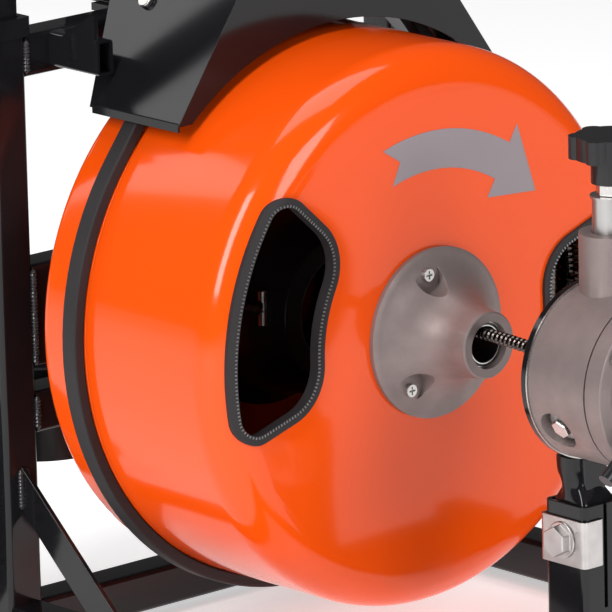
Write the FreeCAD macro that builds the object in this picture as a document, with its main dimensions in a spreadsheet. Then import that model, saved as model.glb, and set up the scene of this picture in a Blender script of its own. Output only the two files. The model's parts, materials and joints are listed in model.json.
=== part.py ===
# Drain snake machine: a drum of spring cable on a wheeled tube frame, turned by a belt
# from a motor above it, with an auto feed unit on an adjustable post in front.
#
# Row frame, millimetres: Z is up from the floor. The drum turns about a line parallel to Y.
# The front, where the cable comes out, is towards -Y. X = 0 is the plane of the drum's axis.
# Y = 0 is where the drum's cylinder meets its rounded front shoulder.
import FreeCAD, Part
import math
import os

import Sketcher

os.makedirs("parts", exist_ok=True)
V = FreeCAD.Vector
doc = FreeCAD.newDocument("DrainSnakeMachine")

# ---------------------------------------------------------------- driving dimensions
SIZES = [
    ("axis_height", 242.0, "drum axis above the floor"),
    ("drum_radius", 200.0, "outside of the drum"),
    ("drum_wall", 3.2, "moulded wall of the drum"),
    ("shoulder_radius", 28.0, "round between the drum's face and its cylinder"),
    ("drum_joint_y", 110.0, "where the front and rear drum shells meet"),
    ("drum_rear_y", 159.0, "rear face of the drum"),
    ("rear_round", 8.0, "round on the drum's rear edge"),
    ("hub_radius", 60.8, "flange of the cast hub"),
    ("nose_radius", 23.7, "front end of the cast hub"),
    ("nose_bore", 16.7, "bore at the front of the hub"),
    ("nose_length", 56.5, "hub length in front of the drum's face"),
    ("hub_screw_circle", 47.0, "radius of the hub screws' circle"),
    ("opening_inner", 104.5, "inner radius of the hand openings"),
    ("opening_outer", 189.2, "outer radius of the hand openings"),
    ("opening_span", 59.9, "angle of one hand opening, degrees"),
    ("opening_start", 136.8, "angle of the left opening's upper end, degrees"),
    ("opening_step", 183.0, "angle from the left opening to the right one, degrees"),
    ("opening_near_corner", 38.6, "radius of an opening's corners nearest the axis"),
    ("opening_far_corner", 21.2, "radius of an opening's outer corners"),
    ("trim_width", 6.5, "rubber edging seen from the front"),
    ("belt_y", 111.0, "front edge of the drive belt"),
    ("belt_width", 14.0, "width of the drive belt"),
    ("belt_thick", 9.0, "thickness of the drive belt"),
    ("belt_gap", 0.3, "room between the belt and what it runs on"),
    ("pulley_height", 278.0, "motor axis above the drum axis"),
    ("pulley_radius", 30.0, "running radius of the motor pulley"),
    ("cable_radius", 4.75, "drain cable, 3/8 inch across"),
    ("cable_rise", 3.0, "feeder axis above the drum axis"),
    ("cable_out", 131.0, "bare cable in front of the feeder"),
    ("tube", 30.0, "square frame tube"),
    ("tube_wall", 2.5, "wall of the frame tube"),
    ("frame_inner", 171.0, "inner faces of the uprights from the middle plane"),
    ("upright_y", 199.5, "front face of the uprights"),
    ("upright_top", 447.0, "top of the outer upright tubes"),
    ("foot_height", 8.0, "rubber feet"),
    ("rail_front_y", -212.0, "front end of the base rails"),
    ("beam_bottom", 207.0, "lower face of the bearing beam"),
    ("beam_top", 282.0, "upper face of the bearing beam"),
    ("lower_cross_top", 190.0, "upper face of the lower cross tube"),
    ("top_cross_top", 447.0, "upper face of the top cross tube"),
    ("arm_side", 150.0, "outer faces of the motor arms from the middle plane"),
    ("arm_width", 14.0, "width of the motor arms"),
    ("arm_height", 25.0, "height of the motor arms"),
    ("arm_front", 147.0, "front end of the motor arms"),
    ("brace_top", 139.0, "where a brace meets its upright"),
    ("brace_run", 101.0, "length of floor rail that a brace spans"),
    ("motor_radius", 43.0, "motor body"),
    ("cap_radius", 45.0, "end caps and fan cover of the motor"),
    ("motor_front", 151.0, "front face of the motor"),
    ("motor_back", 306.0, "rear face of the motor's rear cap"),
    ("guard_y", 64.0, "front face of the belt guard"),
    ("guard_depth", 92.0, "depth of the belt guard along its lower edge"),
    ("guard_bottom", 399.0, "lower edge of the belt guard"),
    ("guard_top", 568.0, "top of the belt guard"),
    ("guard_half", 149.5, "half width of the guard along its lower edge"),
    ("guard_lean", 0.7, "how far the guard's sides lean in per mm of height"),
    ("guard_arch", 208.0, "radius of the arch in the guard's front"),
    ("guard_sheet", 2.0, "sheet of the belt guard"),
    ("guard_skin", 2.44, "the leaning sheet measured across the machine"),
    ("post_size", 40.0, "outer square tube of the feeder post"),
    ("post_inner", 33.0, "inner square tube of the feeder post"),
    ("post_y", -179.0, "middle of the feeder post"),
    ("post_top", 151.0, "top of the outer post tube"),
    ("collar_top", 141.0, "top of the clamp collar"),
    ("collar_height", 33.0, "height of the clamp collar"),
    ("collar_plate", 2.3, "how far the collar stands out from the post"),
    ("feeder_radius", 62.0, "round housing of the feeder"),
    ("feeder_back", -189.0, "rear face of the feeder housing"),
    ("feeder_split", -244.0, "joint between the housing and its front cover"),
    ("feeder_front", -260.0, "front face of the feeder cover"),
    ("roller_y", -210.0, "plane of the three feed rollers"),
    ("roller_radius", 9.0, "feed roller"),
    ("roller_length", 15.0, "feed roller along its pin"),
    ("roller_skew", 20.0, "lean of the rollers to the cable, degrees"),
    ("boss_radius", 23.0, "upright boss of the feeder"),
    ("boss_top", 344.5, "top of the upright boss"),
    ("knob_radius", 29.0, "star knob over its lobes"),
    ("wheel_radius", 100.0, "transport wheel"),
    ("wheel_width", 42.0, "transport wheel across its tyre"),
    ("wheel_y", 325.0, "wheel axis behind the drum's shoulder"),
    ("wheel_side", 212.0, "inner face of the wheels from the middle plane"),
    ("axle_radius", 10.0, "stub axle of a wheel"),
    ("shaft_radius", 15.0, "drum shaft"),
    ("fit", 0.05, "radial room of a running fit"),
    ("handle_height", 640.0, "top of the handle, pushed in"),
    ("handle_tube", 24.0, "square tube of the handle"),
]
sheet = doc.addObject("Spreadsheet::Sheet", "Sizes")
for line, (alias, value, note) in enumerate(SIZES, start=1):
    sheet.set("A%d" % line, note)
    sheet.set("B%d" % line, str(value))
    sheet.setAlias("B%d" % line, alias)
doc.recompute()

ALONG_Y = FreeCAD.Rotation(V(1, 0, 0), -90)
ALONG_X = FreeCAD.Rotation(V(0, 1, 0), 90)
UPRIGHT = FreeCAD.Rotation()
NODES = []


def size(alias):
    """Value of one driving dimension."""
    return getattr(sheet, alias)


def bind(obj, **expressions):
    """Bind properties to sheet cells; a double underscore stands for a dot."""
    for name, text in expressions.items():
        obj.setExpression(name.replace("__", "."), resolve(text))


def resolve(text):
    """Write the sheet's name in front of each alias of a formula."""
    words = []
    for word in str(text).replace("(", " ( ").replace(")", " ) ").split():
        words.append("Sizes." + word if word in ALIASES else word)
    return " ".join(words)


ALIASES = {alias for alias, _, _ in SIZES}


def place(obj, at, rotation=UPRIGHT):
    """Turn an object, then bind its position to three formulas."""
    obj.Placement = FreeCAD.Placement(V(0, 0, 0), rotation)
    bind(obj, Placement__Base__x=at[0], Placement__Base__y=at[1], Placement__Base__z=at[2])


def node(obj, label):
    """Name a finished sub-part."""
    obj.Label = label
    NODES.append(obj)
    return obj


def box(name, dims, at):
    """Block with its low corner at the three formulas."""
    obj = doc.addObject("Part::Box", name)
    bind(obj, Length=dims[0], Width=dims[1], Height=dims[2])
    place(obj, at)
    return obj


def cylinder(name, radius, length, at, rotation=UPRIGHT):
    """Cylinder from the middle of its first end."""
    obj = doc.addObject("Part::Cylinder", name)
    bind(obj, Radius=radius, Height=length)
    place(obj, at, rotation)
    return obj


def cone(name, radii, length, at, rotation=UPRIGHT):
    """Cone from the middle of its first end."""
    obj = doc.addObject("Part::Cone", name)
    bind(obj, Radius1=radii[0], Radius2=radii[1], Height=length)
    place(obj, at, rotation)
    return obj


def fuse(name, pieces):
    """One piece welded or cast from several shapes."""
    obj = doc.addObject("Part::MultiFuse", name)
    obj.Shapes = pieces
    obj.Refine = True
    return obj


def cut(name, base, tools):
    """A shape with others taken out of it."""
    obj = doc.addObject("Part::Cut", name)
    obj.Base = base
    obj.Tool = tools[0] if len(tools) == 1 else fuse(name + "_tools", tools)
    return obj


def group(name, pieces):
    """Separate solids that share one node."""
    obj = doc.addObject("Part::Compound", name)
    obj.Links = pieces
    return obj


def rounded(name, base, radius, edges):
    """Fillet of chosen edges, given by their numbers."""
    obj = doc.addObject("Part::Fillet", name)
    obj.Base = base
    obj.Edges = [(number, radius, radius) for number in edges]
    return obj


def long_edges(shape, axis):
    """Numbers of the straight edges of a block that run along one axis."""
    found = []
    for number, edge in enumerate(shape.Edges, start=1):
        direction = edge.tangentAt(edge.FirstParameter)
        if abs(direction.dot(axis)) > 0.99 and edge.Curve.TypeId == "Part::GeomLine":
            found.append(number)
    return found


def square_tube(name, dims, at, axis, wall="tube_wall", corner=4.0):
    """Square tube with rounded long edges, open at both ends along the given axis."""
    outside = box(name + "_outside", dims, at)
    doc.recompute()
    axis_vector = {"x": V(1, 0, 0), "y": V(0, 1, 0), "z": V(0, 0, 1)}[axis]
    soft = rounded(name + "_round", outside, corner, long_edges(outside.Shape, axis_vector))
    inner_dims, inner_at = [], []
    for letter, dim, low in zip("xyz", dims, at):
        inner_dims.append(dim if letter == axis else "%s - 2 * %s" % (dim, wall))
        inner_at.append(low if letter == axis else "%s + %s" % (low, wall))
    return cut(name, soft, [box(name + "_inside", inner_dims, inner_at)])


def plane(body, role):
    """One of a body's own origin planes."""
    return next(item for item in body.Origin.OriginFeatures if item.Role == role)


def sketch_on(body, name, role, path):
    """Closed profile on an origin plane of a body.

    The path is a list of corners (x, y), or (x, y, mid_x, mid_y) where an arc through the
    middle point leads to the corner. Each corner is pinned to its two formulas.
    """
    sketch = body.newObject("Sketcher::SketchObject", name)
    sketch.AttachmentSupport = [(plane(body, role), "")]
    sketch.MapMode = "FlatFace"
    corners = [tuple(float(sketch.evalExpression(resolve(f))) for f in step) for step in path]
    count = len(path)
    ends = []
    for index in range(count):
        start, stop = corners[index - 1], corners[index]
        a, b = V(start[0], start[1], 0), V(stop[0], stop[1], 0)
        if len(stop) == 2:
            sketch.addGeometry(Part.LineSegment(a, b), False)
            ends.append((1, 2))
            continue
        middle = V(stop[2], stop[3], 0)
        clockwise = (middle - a).cross(b - middle).z < 0
        first, last = (b, a) if clockwise else (a, b)
        sketch.addGeometry(Part.Arc(first, middle, last), False)
        ends.append((2, 1) if clockwise else (1, 2))
    for index in range(count):
        following = (index + 1) % count
        sketch.addConstraint(Sketcher.Constraint(
            "Coincident", index, ends[index][1], following, ends[following][0]))
    for index in range(count):
        for kind, column in (("DistanceX", 0), ("DistanceY", 1)):
            pin = sketch.addConstraint(Sketcher.Constraint(
                kind, -1, 1, index, ends[index][1], corners[index][column]))
            sketch.setExpression("Constraints[%d]" % pin, resolve(path[index][column]))
    return sketch


def turned(label, path, at=("0", "0", "axis_height"), role="XY_Plane"):
    """Body turned about its own Y axis from a profile of (radius, y) corners."""
    body = doc.addObject("PartDesign::Body", label)
    sketch = sketch_on(body, label + "_profile", role, path)
    turn = body.newObject("PartDesign::Revolution", label + "_turn")
    turn.Profile = sketch
    turn.ReferenceAxis = (sketch, ["V_Axis"])
    turn.Angle = 360.0
    sketch.Visibility = False
    place(body, at)
    return body


def plate(label, path, thick, at, role="XZ_Plane"):
    """Body padded from a profile; on XZ it grows towards -Y from its placement."""
    body = doc.addObject("PartDesign::Body", label)
    sketch = sketch_on(body, label + "_profile", role, path)
    pad = body.newObject("PartDesign::Pad", label + "_pad")
    pad.Profile = sketch
    bind(pad, Length=thick)
    place(body, at)
    return body


def polar(radius, degrees):
    """Point of a circle in the XZ plane, from +X towards +Z."""
    angle = math.radians(degrees)
    return V(radius * math.cos(angle), 0, radius * math.sin(angle))


def spun(name, obj, degrees, centre):
    """Part::Feature copy of a shape turned about a line parallel to Y."""
    doc.recompute()
    shape = obj.Shape.copy()
    shape.rotate(centre, V(0, 1, 0), -degrees)
    copy = doc.addObject("Part::Feature", name)
    copy.Shape = shape
    return copy


AXIS = V(0, 0, size("axis_height"))

# ---------------------------------------------------------------- welded frame
SIDES = [("left", -1), ("right", 1)]


def side_x(sign, inner, width):
    """Low x of a piece between inner and inner + width on one side."""
    return "( %s )" % inner if sign > 0 else "0 - ( %s ) - ( %s )" % (inner, width)


rails = []
for side, sign in SIDES:
    x_low = side_x(sign, "frame_inner", "tube")
    upright = square_tube(
        side + "_tube", ("tube", "tube", "upright_top - foot_height"),
        (x_low, "upright_y", "foot_height"), "z")
    socket = square_tube(
        side + "_socket", ("tube + 6", "tube + 6", "14"),
        (x_low + " - 3", "upright_y - 3", "upright_top"), "z", "5.5", 3.0)
    node(fuse(side + "_upright", [upright, socket]), side + "_upright")
    rails.append(square_tube(
        side + "_rail", ("tube", "upright_y - rail_front_y", "tube"),
        (x_low, "rail_front_y", "foot_height"), "y"))
node(group("base_rails", rails), "base_rails")

CROSS_LENGTH = "2 * frame_inner"
front_cross = square_tube(
    "front_cross", (CROSS_LENGTH, "tube", "tube"),
    ("0 - frame_inner", "post_y - tube / 2", "foot_height"), "x")
rear_cross = square_tube(
    "rear_cross", (CROSS_LENGTH, "tube", "tube"),
    ("0 - frame_inner", "upright_y", "foot_height"), "x")
node(group("base_cross_tubes", [front_cross, rear_cross]), "base_cross_tubes")
node(square_tube(
    "lower_cross_tube", (CROSS_LENGTH, "tube", "tube"),
    ("0 - frame_inner", "upright_y", "lower_cross_top - tube"), "x"), "lower_cross_tube")
beam = square_tube(
    "beam", (CROSS_LENGTH, "tube", "beam_top - beam_bottom"),
    ("0 - frame_inner", "upright_y", "beam_bottom"), "x", "3", 5.0)
beam_hole = cylinder(
    "beam_hole", "shaft_radius + 4", "tube + 4", ("0", "upright_y - 2", "axis_height"), ALONG_Y)
node(cut("bearing_beam", beam, [beam_hole]), "bearing_beam")
node(square_tube(
    "top_cross_tube", (CROSS_LENGTH, "tube", "tube"),
    ("0 - frame_inner", "upright_y", "top_cross_top - tube"), "x"), "top_cross_tube")

braces = []
for side, sign in SIDES:
    middle = "frame_inner + tube / 2" if sign > 0 else "0 - frame_inner - tube / 2"
    braces.append(plate(
        side + "_brace",
        [("upright_y", "brace_top"),
         ("upright_y", "brace_top - 33"),
         ("upright_y - brace_run + 27", "foot_height + tube"),
         ("upright_y - brace_run - 10", "foot_height + tube")],
        "4", (middle + " - 2", "0", "0"), "YZ_Plane"))
node(group("frame_braces", braces), "frame_braces")

FEET = [(sign, y) for sign in (-1, 1) for y in ("rail_front_y + 6", "upright_y + 2")]
feet = []
for number, (sign, low_y) in enumerate(FEET):
    low_x = side_x(sign, "frame_inner + 2", "26")
    feet.append(box("foot_%d" % number, ("26", "26", "foot_height"), (low_x, low_y, "0")))
node(group("rubber_feet", feet), "rubber_feet")

# ---------------------------------------------------------------- motor arms and their gussets
# Each arm runs forward from the top cross tube, outside the belt guard. A gusset with a
# hollow upper edge stands inside its outer wall.
ARM_BOTTOM = "top_cross_top - arm_height"
arms = []
for side, sign in SIDES:
    arm = square_tube(
        side + "_arm", ("arm_width", "upright_y - arm_front", "arm_height"),
        (side_x(sign, "arm_side - arm_width", "arm_width"), "arm_front", ARM_BOTTOM), "y", "2", 3.0)
    gusset = plate(side + "_gusset", [
        ("arm_front + 3", ARM_BOTTOM + " + 3"),
        ("upright_y", ARM_BOTTOM + " + 3"),
        ("upright_y", ARM_BOTTOM + " + 14"),
        ("upright_y - 12.5", ARM_BOTTOM + " + 22"),
        ("upright_y - 23.5", ARM_BOTTOM + " + 29.5"),
        ("upright_y - 39", ARM_BOTTOM + " + 38.5"),
        ("arm_front + 3", ARM_BOTTOM + " + 44"),
    ], "4", (side_x(sign, "arm_side - 4", "4"), "0", "0"), "YZ_Plane")
    arms.append(fuse(side + "_motor_arm", [arm, gusset]))
node(group("motor_arms", arms), "motor_arms")

# ---------------------------------------------------------------- drum
FACE = "0 - shoulder_radius - 1"
HALF = 1 - math.sqrt(0.5)


def shell_path(outside, inside, back):
    """Drum front wall between two offsets from the outer surface, ending at y = back."""
    corner = "( shoulder_radius + %s ) * %.5f"
    out_bend = corner % (outside, HALF)
    in_bend = corner % (inside, HALF)
    r_out, r_in = "( drum_radius + %s )" % outside, "( drum_radius + %s )" % inside
    f_out = "( 0 - shoulder_radius - 1 - %s )" % outside
    f_in = "( 0 - shoulder_radius - 1 - %s )" % inside
    return [
        ("30", f_out),
        ("drum_radius - shoulder_radius", f_out),
        (r_out, "0 - 1", "%s - %s" % (r_out, out_bend), "%s + %s" % (f_out, out_bend)),
        (r_out, back),
        (r_in, back),
        (r_in, "0 - 1"),
        ("drum_radius - shoulder_radius", f_in,
         "%s - %s" % (r_in, in_bend), "%s + %s" % (f_in, in_bend)),
        ("30", f_in),
    ]


def from_axis(point):
    """Distance of a point from the drum's axis."""
    return math.hypot(point.x, point.z - size("axis_height"))


def sector(name, inset):
    """Solid that follows one hand opening, made smaller all round by the inset."""
    r_in = size("opening_inner") + inset
    r_out = size("opening_outer") - inset
    span = size("opening_span")
    start = size("opening_start")
    corners = []
    for radius in (r_in, r_out):
        slim = math.degrees(inset / radius)
        corners.append([polar(radius, start + slim), polar(radius, start + span / 2),
                        polar(radius, start + span - slim)])
    (a1, a2, a3), (b1, b2, b3) = corners
    wire = Part.Wire([
        Part.Arc(a1, a2, a3).toShape(), Part.LineSegment(a3, b3).toShape(),
        Part.Arc(b3, b2, b1).toShape(), Part.LineSegment(b1, a1).toShape()])
    solid = Part.Face(wire).extrude(V(0, 60, 0))
    solid.translate(V(0, -50, size("axis_height")))
    middle = (r_in + r_out) / 2
    for corner, nearest in (("opening_near_corner", True), ("opening_far_corner", False)):
        edges = [
            edge for edge in solid.Edges
            if abs(edge.tangentAt(edge.FirstParameter).y) > 0.99
            and (from_axis(edge.CenterOfMass) < middle) == nearest]
        solid = solid.makeFillet(size(corner) - inset, edges)
    obj = doc.addObject("Part::Feature", name)
    obj.Shape = solid
    return obj


front_wall = turned("front_wall", shell_path("0", "( 0 - drum_wall )", "drum_joint_y"))
hole_inset = size("trim_width") - 2.0
left_hole = sector("left_hole", hole_inset)
right_hole = spun("right_hole", left_hole, size("opening_step"), AXIS)
node(cut("drum_front_shell", front_wall, [left_hole, right_hole]), "drum_front_shell")

LIP = "drum_radius - drum_wall - 0.3"
node(turned("drum_rear_shell", [
    ("drum_radius", "drum_joint_y + 0.3"),
    ("drum_radius", "drum_rear_y - rear_round"),
    ("drum_radius - rear_round", "drum_rear_y",
     "drum_radius - rear_round * %.5f" % HALF, "drum_rear_y - rear_round * %.5f" % HALF),
    ("46", "drum_rear_y"),
    ("46", "drum_rear_y - 4"),
    ("drum_radius - rear_round - 3", "drum_rear_y - 4"),
    ("drum_radius - 6.5", "drum_rear_y - rear_round - 3"),
    ("drum_radius - 6.5", "drum_joint_y - 10"),
    (LIP, "drum_joint_y - 10"),
    (LIP, "drum_joint_y + 0.3"),
]), "drum_rear_shell")

trim_wall = turned("trim_wall", shell_path("2.6", "( 0 - drum_wall - 2.2 )", "20"))
trim_outer = sector("trim_outer", 0.0)
trim_inner = sector("trim_inner", size("trim_width"))
trim_ring = cut("trim_ring", trim_outer, [trim_inner])
trim_blank = doc.addObject("Part::Common", "trim_blank")
trim_blank.Base = trim_wall
trim_blank.Tool = trim_ring
groove = cut("trim_groove", front_wall, [left_hole])
left_trim = cut("left_opening_trim", trim_blank, [groove])
node(left_trim, "left_opening_trim")
node(spun("right_opening_trim", left_trim, size("opening_step"), AXIS), "right_opening_trim")

# Cast hub: a trumpet from the flange to the nose, bored through, with three screw scoops.
HUB_FLANGE = FACE + " - 0.2"
hub_blank = turned("hub_blank", [
    ("hub_radius", HUB_FLANGE),
    ("hub_radius", FACE + " - 3.6"),
    ("hub_radius - 2", FACE + " - 4.8"),
    ("nose_radius + 1.2", FACE + " - 44", "nose_radius + 12.5", FACE + " - 19"),
    ("nose_radius", FACE + " - nose_length + 1"),
    ("nose_radius - 1", FACE + " - nose_length"),
    ("nose_bore", FACE + " - nose_length"),
    ("nose_bore", FACE + " - 18"),
    ("29", FACE + " - 6"),
    ("29", HUB_FLANGE),
])
SCOOP_LENGTH = "70 - 8.5"
SCOOP_RADIUS = "11"
SCOOP_INSET = 3.0
scoops, screws = [], []
for number in range(3):
    angle = 107 + 120 * number
    spot = polar(size("hub_screw_circle"), angle)
    at = ("%.4f" % spot.x, FACE + " - 10", "axis_height + %.4f" % spot.z)
    hollow = polar(size("hub_screw_circle") - SCOOP_INSET, angle)
    scoops.append(cylinder(
        "scoop_%d" % number, SCOOP_RADIUS, SCOOP_LENGTH,
        ("%.4f" % hollow.x, FACE + " - 70", "axis_height + %.4f" % hollow.z), ALONG_Y))
    head = cylinder("screw_head_%d" % number, "4.6", "3.2", (at[0], FACE + " - 11.7", at[2]), ALONG_Y)
    cross_a = box("screw_slot_a_%d" % number, ("5.6", "1.6", "1.1"),
                  (at[0] + " - 2.8", FACE + " - 11.8", at[2] + " - 0.55"))
    cross_b = box("screw_slot_b_%d" % number, ("1.1", "1.6", "5.6"),
                  (at[0] + " - 0.55", FACE + " - 11.8", at[2] + " - 2.8"))
    screws.append(cut("screw_%d" % number, head, [cross_a, cross_b]))
node(cut("drum_hub", hub_blank, scoops), "drum_hub")
node(group("hub_screws", screws), "hub_screws")
node(turned("nose_bush", [
    ("nose_bore - 0.05", FACE + " - nose_length + 5"),
    ("13.3", FACE + " - nose_length + 5"),
    ("13.3", FACE + " - nose_length + 30"),
    ("nose_bore - 0.05", FACE + " - nose_length + 30"),
]), "nose_bush")

# Curved arrow on the drum's face, showing which way the drum turns to feed the cable.
ARROW_MID, ARROW_HALF, HEAD_HALF = 129.5, 13.8, 28.0
TAIL_ANGLE, NOTCH_ANGLE, HEAD_ANGLE, TIP_ANGLE = 108.0, 102.7, 58.5, 40.2


def arrow_edge(radius, first, last):
    """Arc of the arrow's band between two angles."""
    middle = (first + last) / 2
    return Part.Arc(polar(radius, first), polar(radius, middle), polar(radius, last)).toShape()


outer_r, inner_r = ARROW_MID + ARROW_HALF, ARROW_MID - ARROW_HALF
head = [polar(outer_r, HEAD_ANGLE), polar(ARROW_MID + HEAD_HALF, HEAD_ANGLE),
        polar(ARROW_MID, TIP_ANGLE), polar(ARROW_MID - HEAD_HALF, HEAD_ANGLE),
        polar(inner_r, HEAD_ANGLE)]
tail = [polar(inner_r, TAIL_ANGLE), polar(ARROW_MID, NOTCH_ANGLE), polar(outer_r, TAIL_ANGLE)]
edges = [arrow_edge(outer_r, TAIL_ANGLE, HEAD_ANGLE)]
edges += [Part.LineSegment(a, b).toShape() for a, b in zip(head, head[1:])]
edges += [arrow_edge(inner_r, HEAD_ANGLE, TAIL_ANGLE)]
edges += [Part.LineSegment(a, b).toShape() for a, b in zip(tail, tail[1:])]
arrow = doc.addObject("Part::Feature", "rotation_arrow")
arrow.Shape = Part.Face(Part.Wire(edges)).extrude(V(0, -0.4, 0))
arrow.Placement = FreeCAD.Placement(
    V(0, -size("shoulder_radius") - 1.0, size("axis_height")), FreeCAD.Rotation())
node(arrow, "rotation_arrow")

# Inside the drum: a dark inner drum open to the front, the cable winding in it, and the
# winding's lead, which runs out along the hub's bore.
node(turned("inner_drum", [
    ("40", "64"), ("54", "66"), ("66", "96"), ("70", "130"), ("82", "139"), ("82", "146"),
    ("46", "146"), ("40", "120"),
]), "inner_drum")
winding_coils = turned("winding_coils", [
    ("165", "42"), ("176", "33"), ("188", "37"), ("193", "48"), ("193", "118"),
    ("180", "123"), ("163", "112"),
])


def tube_along(name, points, radius):
    """Tube along straight runs joined by tangent arcs at the inner points."""
    path = []
    last = points[0]
    for before, corner, after in zip(points, points[1:], points[2:]):
        into, out = (corner - before).normalize(), (after - corner).normalize()
        turn = math.acos(max(-1.0, min(1.0, into.dot(out))))
        run = min((corner - before).Length, (after - corner).Length)
        reach = 0.45 * run
        bend = reach / math.tan(turn / 2)
        start, stop = corner - into * reach, corner + out * reach
        middle_way = (out - into).normalize()
        centre = corner + middle_way * math.hypot(reach, bend)
        path.append(Part.LineSegment(last, start).toShape())
        path.append(Part.Arc(start, centre - middle_way * bend, stop).toShape())
        last = stop
    path.append(Part.LineSegment(last, points[-1]).toShape())
    wire = Part.Wire(path)
    first = (points[1] - points[0]).normalize()
    ring = Part.Wire([Part.Circle(points[0], first, radius).toShape()])
    obj = doc.addObject("Part::Feature", name)
    obj.Shape = wire.makePipeShell([ring], True, True)
    return obj


CABLE_R = size("cable_radius")
AXIS_Z = size("axis_height")
NOSE_RISE = 8.0
LEAD_ROUTE = [V(0, -57.4, AXIS_Z + NOSE_RISE), V(0, -14, AXIS_Z + NOSE_RISE + 1),
              V(24, 18, AXIS_Z + 52), V(130, 56, AXIS_Z + 118)]
winding_lead = tube_along("winding_lead", LEAD_ROUTE, CABLE_R)
node(fuse("cable_winding", [winding_coils, winding_lead]), "cable_winding")
node(turned("rear_hub", [
    ("shaft_radius + 0.02", "drum_rear_y - 12"), ("30", "drum_rear_y - 12"),
    ("44", "drum_rear_y - 4.2"), ("44", "drum_rear_y + 0.3"), ("62", "drum_rear_y + 0.3"),
    ("62", "drum_rear_y + 7"), ("32", "drum_rear_y + 10"), ("26", "drum_rear_y + 20"),
    ("shaft_radius + 0.02", "drum_rear_y + 20"),
]), "rear_hub")
node(cylinder("drum_shaft", "shaft_radius", "92", ("0", "drum_rear_y - 12", "axis_height"), ALONG_Y),
     "drum_shaft")

# Bearing on the beam's front face.
bearing_disc = turned("bearing_disc", [
    ("26", "upright_y - 16"), ("34", "upright_y - 16"), ("38", "upright_y - 6"),
    ("52", "upright_y - 6"), ("52", "upright_y"), ("26", "upright_y"),
])
node(bearing_disc, "bearing_housing")
node(turned("drum_bearing", [
    ("shaft_radius + fit", "upright_y - 15.5"), ("25.98", "upright_y - 15.5"),
    ("25.98", "upright_y - 0.5"), ("shaft_radius + fit", "upright_y - 0.5"),
]), "drum_bearing")

# ---------------------------------------------------------------- belt drive
def belt_outline(offset):
    """Closed wire of the belt's loop, the offset outside the drum and the pulley."""
    big = size("drum_radius") + size("belt_gap") + offset
    small = size("pulley_radius") + size("belt_gap") + offset
    rise = size("pulley_height")
    lean = math.degrees(math.asin((big - small) / rise))
    top = V(0, 0, rise)
    big_left, big_right = polar(big, 180 - lean), polar(big, lean)
    small_left, small_right = polar(small, 180 - lean) + top, polar(small, lean) + top
    return Part.Wire([
        Part.Arc(big_left, polar(big, 270), big_right).toShape(),
        Part.LineSegment(big_right, small_right).toShape(),
        Part.Arc(small_right, top + polar(small, 90), small_left).toShape(),
        Part.LineSegment(small_left, big_left).toShape()])


belt = doc.addObject("Part::Feature", "drive_belt")
belt_faces = [Part.Face(belt_outline(offset)) for offset in (size("belt_thick"), 0.0)]
belt.Shape = belt_faces[0].cut(belt_faces[1]).extrude(V(0, size("belt_width"), 0))
belt.Placement = FreeCAD.Placement(V(0, size("belt_y"), size("axis_height")), FreeCAD.Rotation())
node(belt, "drive_belt")

MOTOR_AT = ("0", "0", "axis_height + pulley_height")
BELT_END = "belt_y + belt_width"
node(turned("motor_pulley", [
    ("8.02", "belt_y - 5"), ("pulley_radius + 4", "belt_y - 5"), ("pulley_radius + 4", "belt_y - 1.5"),
    ("pulley_radius", "belt_y - 0.5"), ("pulley_radius", BELT_END + " + 0.5"),
    ("pulley_radius + 4", BELT_END + " + 1.5"), ("pulley_radius + 4", BELT_END + " + 4"),
    ("14", BELT_END + " + 4"), ("14", BELT_END + " + 9"), ("8.02", BELT_END + " + 9"),
], MOTOR_AT), "motor_pulley")
node(cylinder("motor_shaft", "8", "54", ("0", "belt_y - 8", MOTOR_AT[2]), ALONG_Y), "motor_shaft")

# ---------------------------------------------------------------- motor
node(turned("motor_body", [
    ("8.4", "motor_front"), ("cap_radius", "motor_front"), ("cap_radius", "motor_front + 12"),
    ("motor_radius", "motor_front + 14"), ("motor_radius", "motor_back - 10"),
    ("cap_radius", "motor_back - 8"), ("cap_radius", "motor_back"),
    ("20", "motor_back"), ("8.4", "motor_back - 6"),
], MOTOR_AT), "motor_body")
node(turned("motor_fan_cover", [
    ("cap_radius - 2", "motor_back + 0.3"), ("cap_radius + 1", "motor_back + 0.3"),
    ("cap_radius + 1", "motor_back + 24"), ("cap_radius - 8", "motor_back + 36"),
    ("14", "motor_back + 36"), ("14", "motor_back + 33.5"), ("cap_radius - 9", "motor_back + 33.5"),
    ("cap_radius - 2", "motor_back + 23"),
], MOTOR_AT), "motor_fan_cover")


def guard_half(height):
    """Formula of the guard's half width at a height above the floor."""
    return "( guard_half - guard_lean * ( %s - guard_bottom ) )" % height


# The mount's face fills the guard from side to side and carries it.
FACE_LOW, FACE_HIGH = "( top_cross_top + 5 )", "( top_cross_top + 100 )"
mount_face = plate("mount_face", [
    ("0 - %s + guard_skin" % guard_half(FACE_LOW), FACE_LOW),
    ("%s - guard_skin" % guard_half(FACE_LOW), FACE_LOW),
    ("%s - guard_skin" % guard_half(FACE_HIGH), FACE_HIGH),
    ("0 - %s + guard_skin" % guard_half(FACE_HIGH), FACE_HIGH),
], "4", ("0", "motor_front", "0"))
mount_hole = cylinder("mount_hole", "31", "12", ("0", "motor_front - 6", MOTOR_AT[2]), ALONG_Y)
mount_bars = [
    box("mount_bar_%d" % number, ("25", "upright_y + tube - motor_front + 4", "5.5"),
        (low_x, "motor_front - 4", "top_cross_top"))
    for number, low_x in enumerate(("0 - 85", "60"))]
mount_feet = [
    box("mount_foot_%d" % number, ("8", "70", "20"), (low_x, "upright_y", "top_cross_top + 4"))
    for number, low_x in enumerate(("0 - 76", "68"))]
saddle = box("saddle", ("152", "70", "16"), ("0 - 76", "upright_y", "top_cross_top + 18"))
saddle_room = cylinder(
    "saddle_room", "motor_radius + 0.2", "110", ("0", "upright_y - 20", MOTOR_AT[2]), ALONG_Y)
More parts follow.
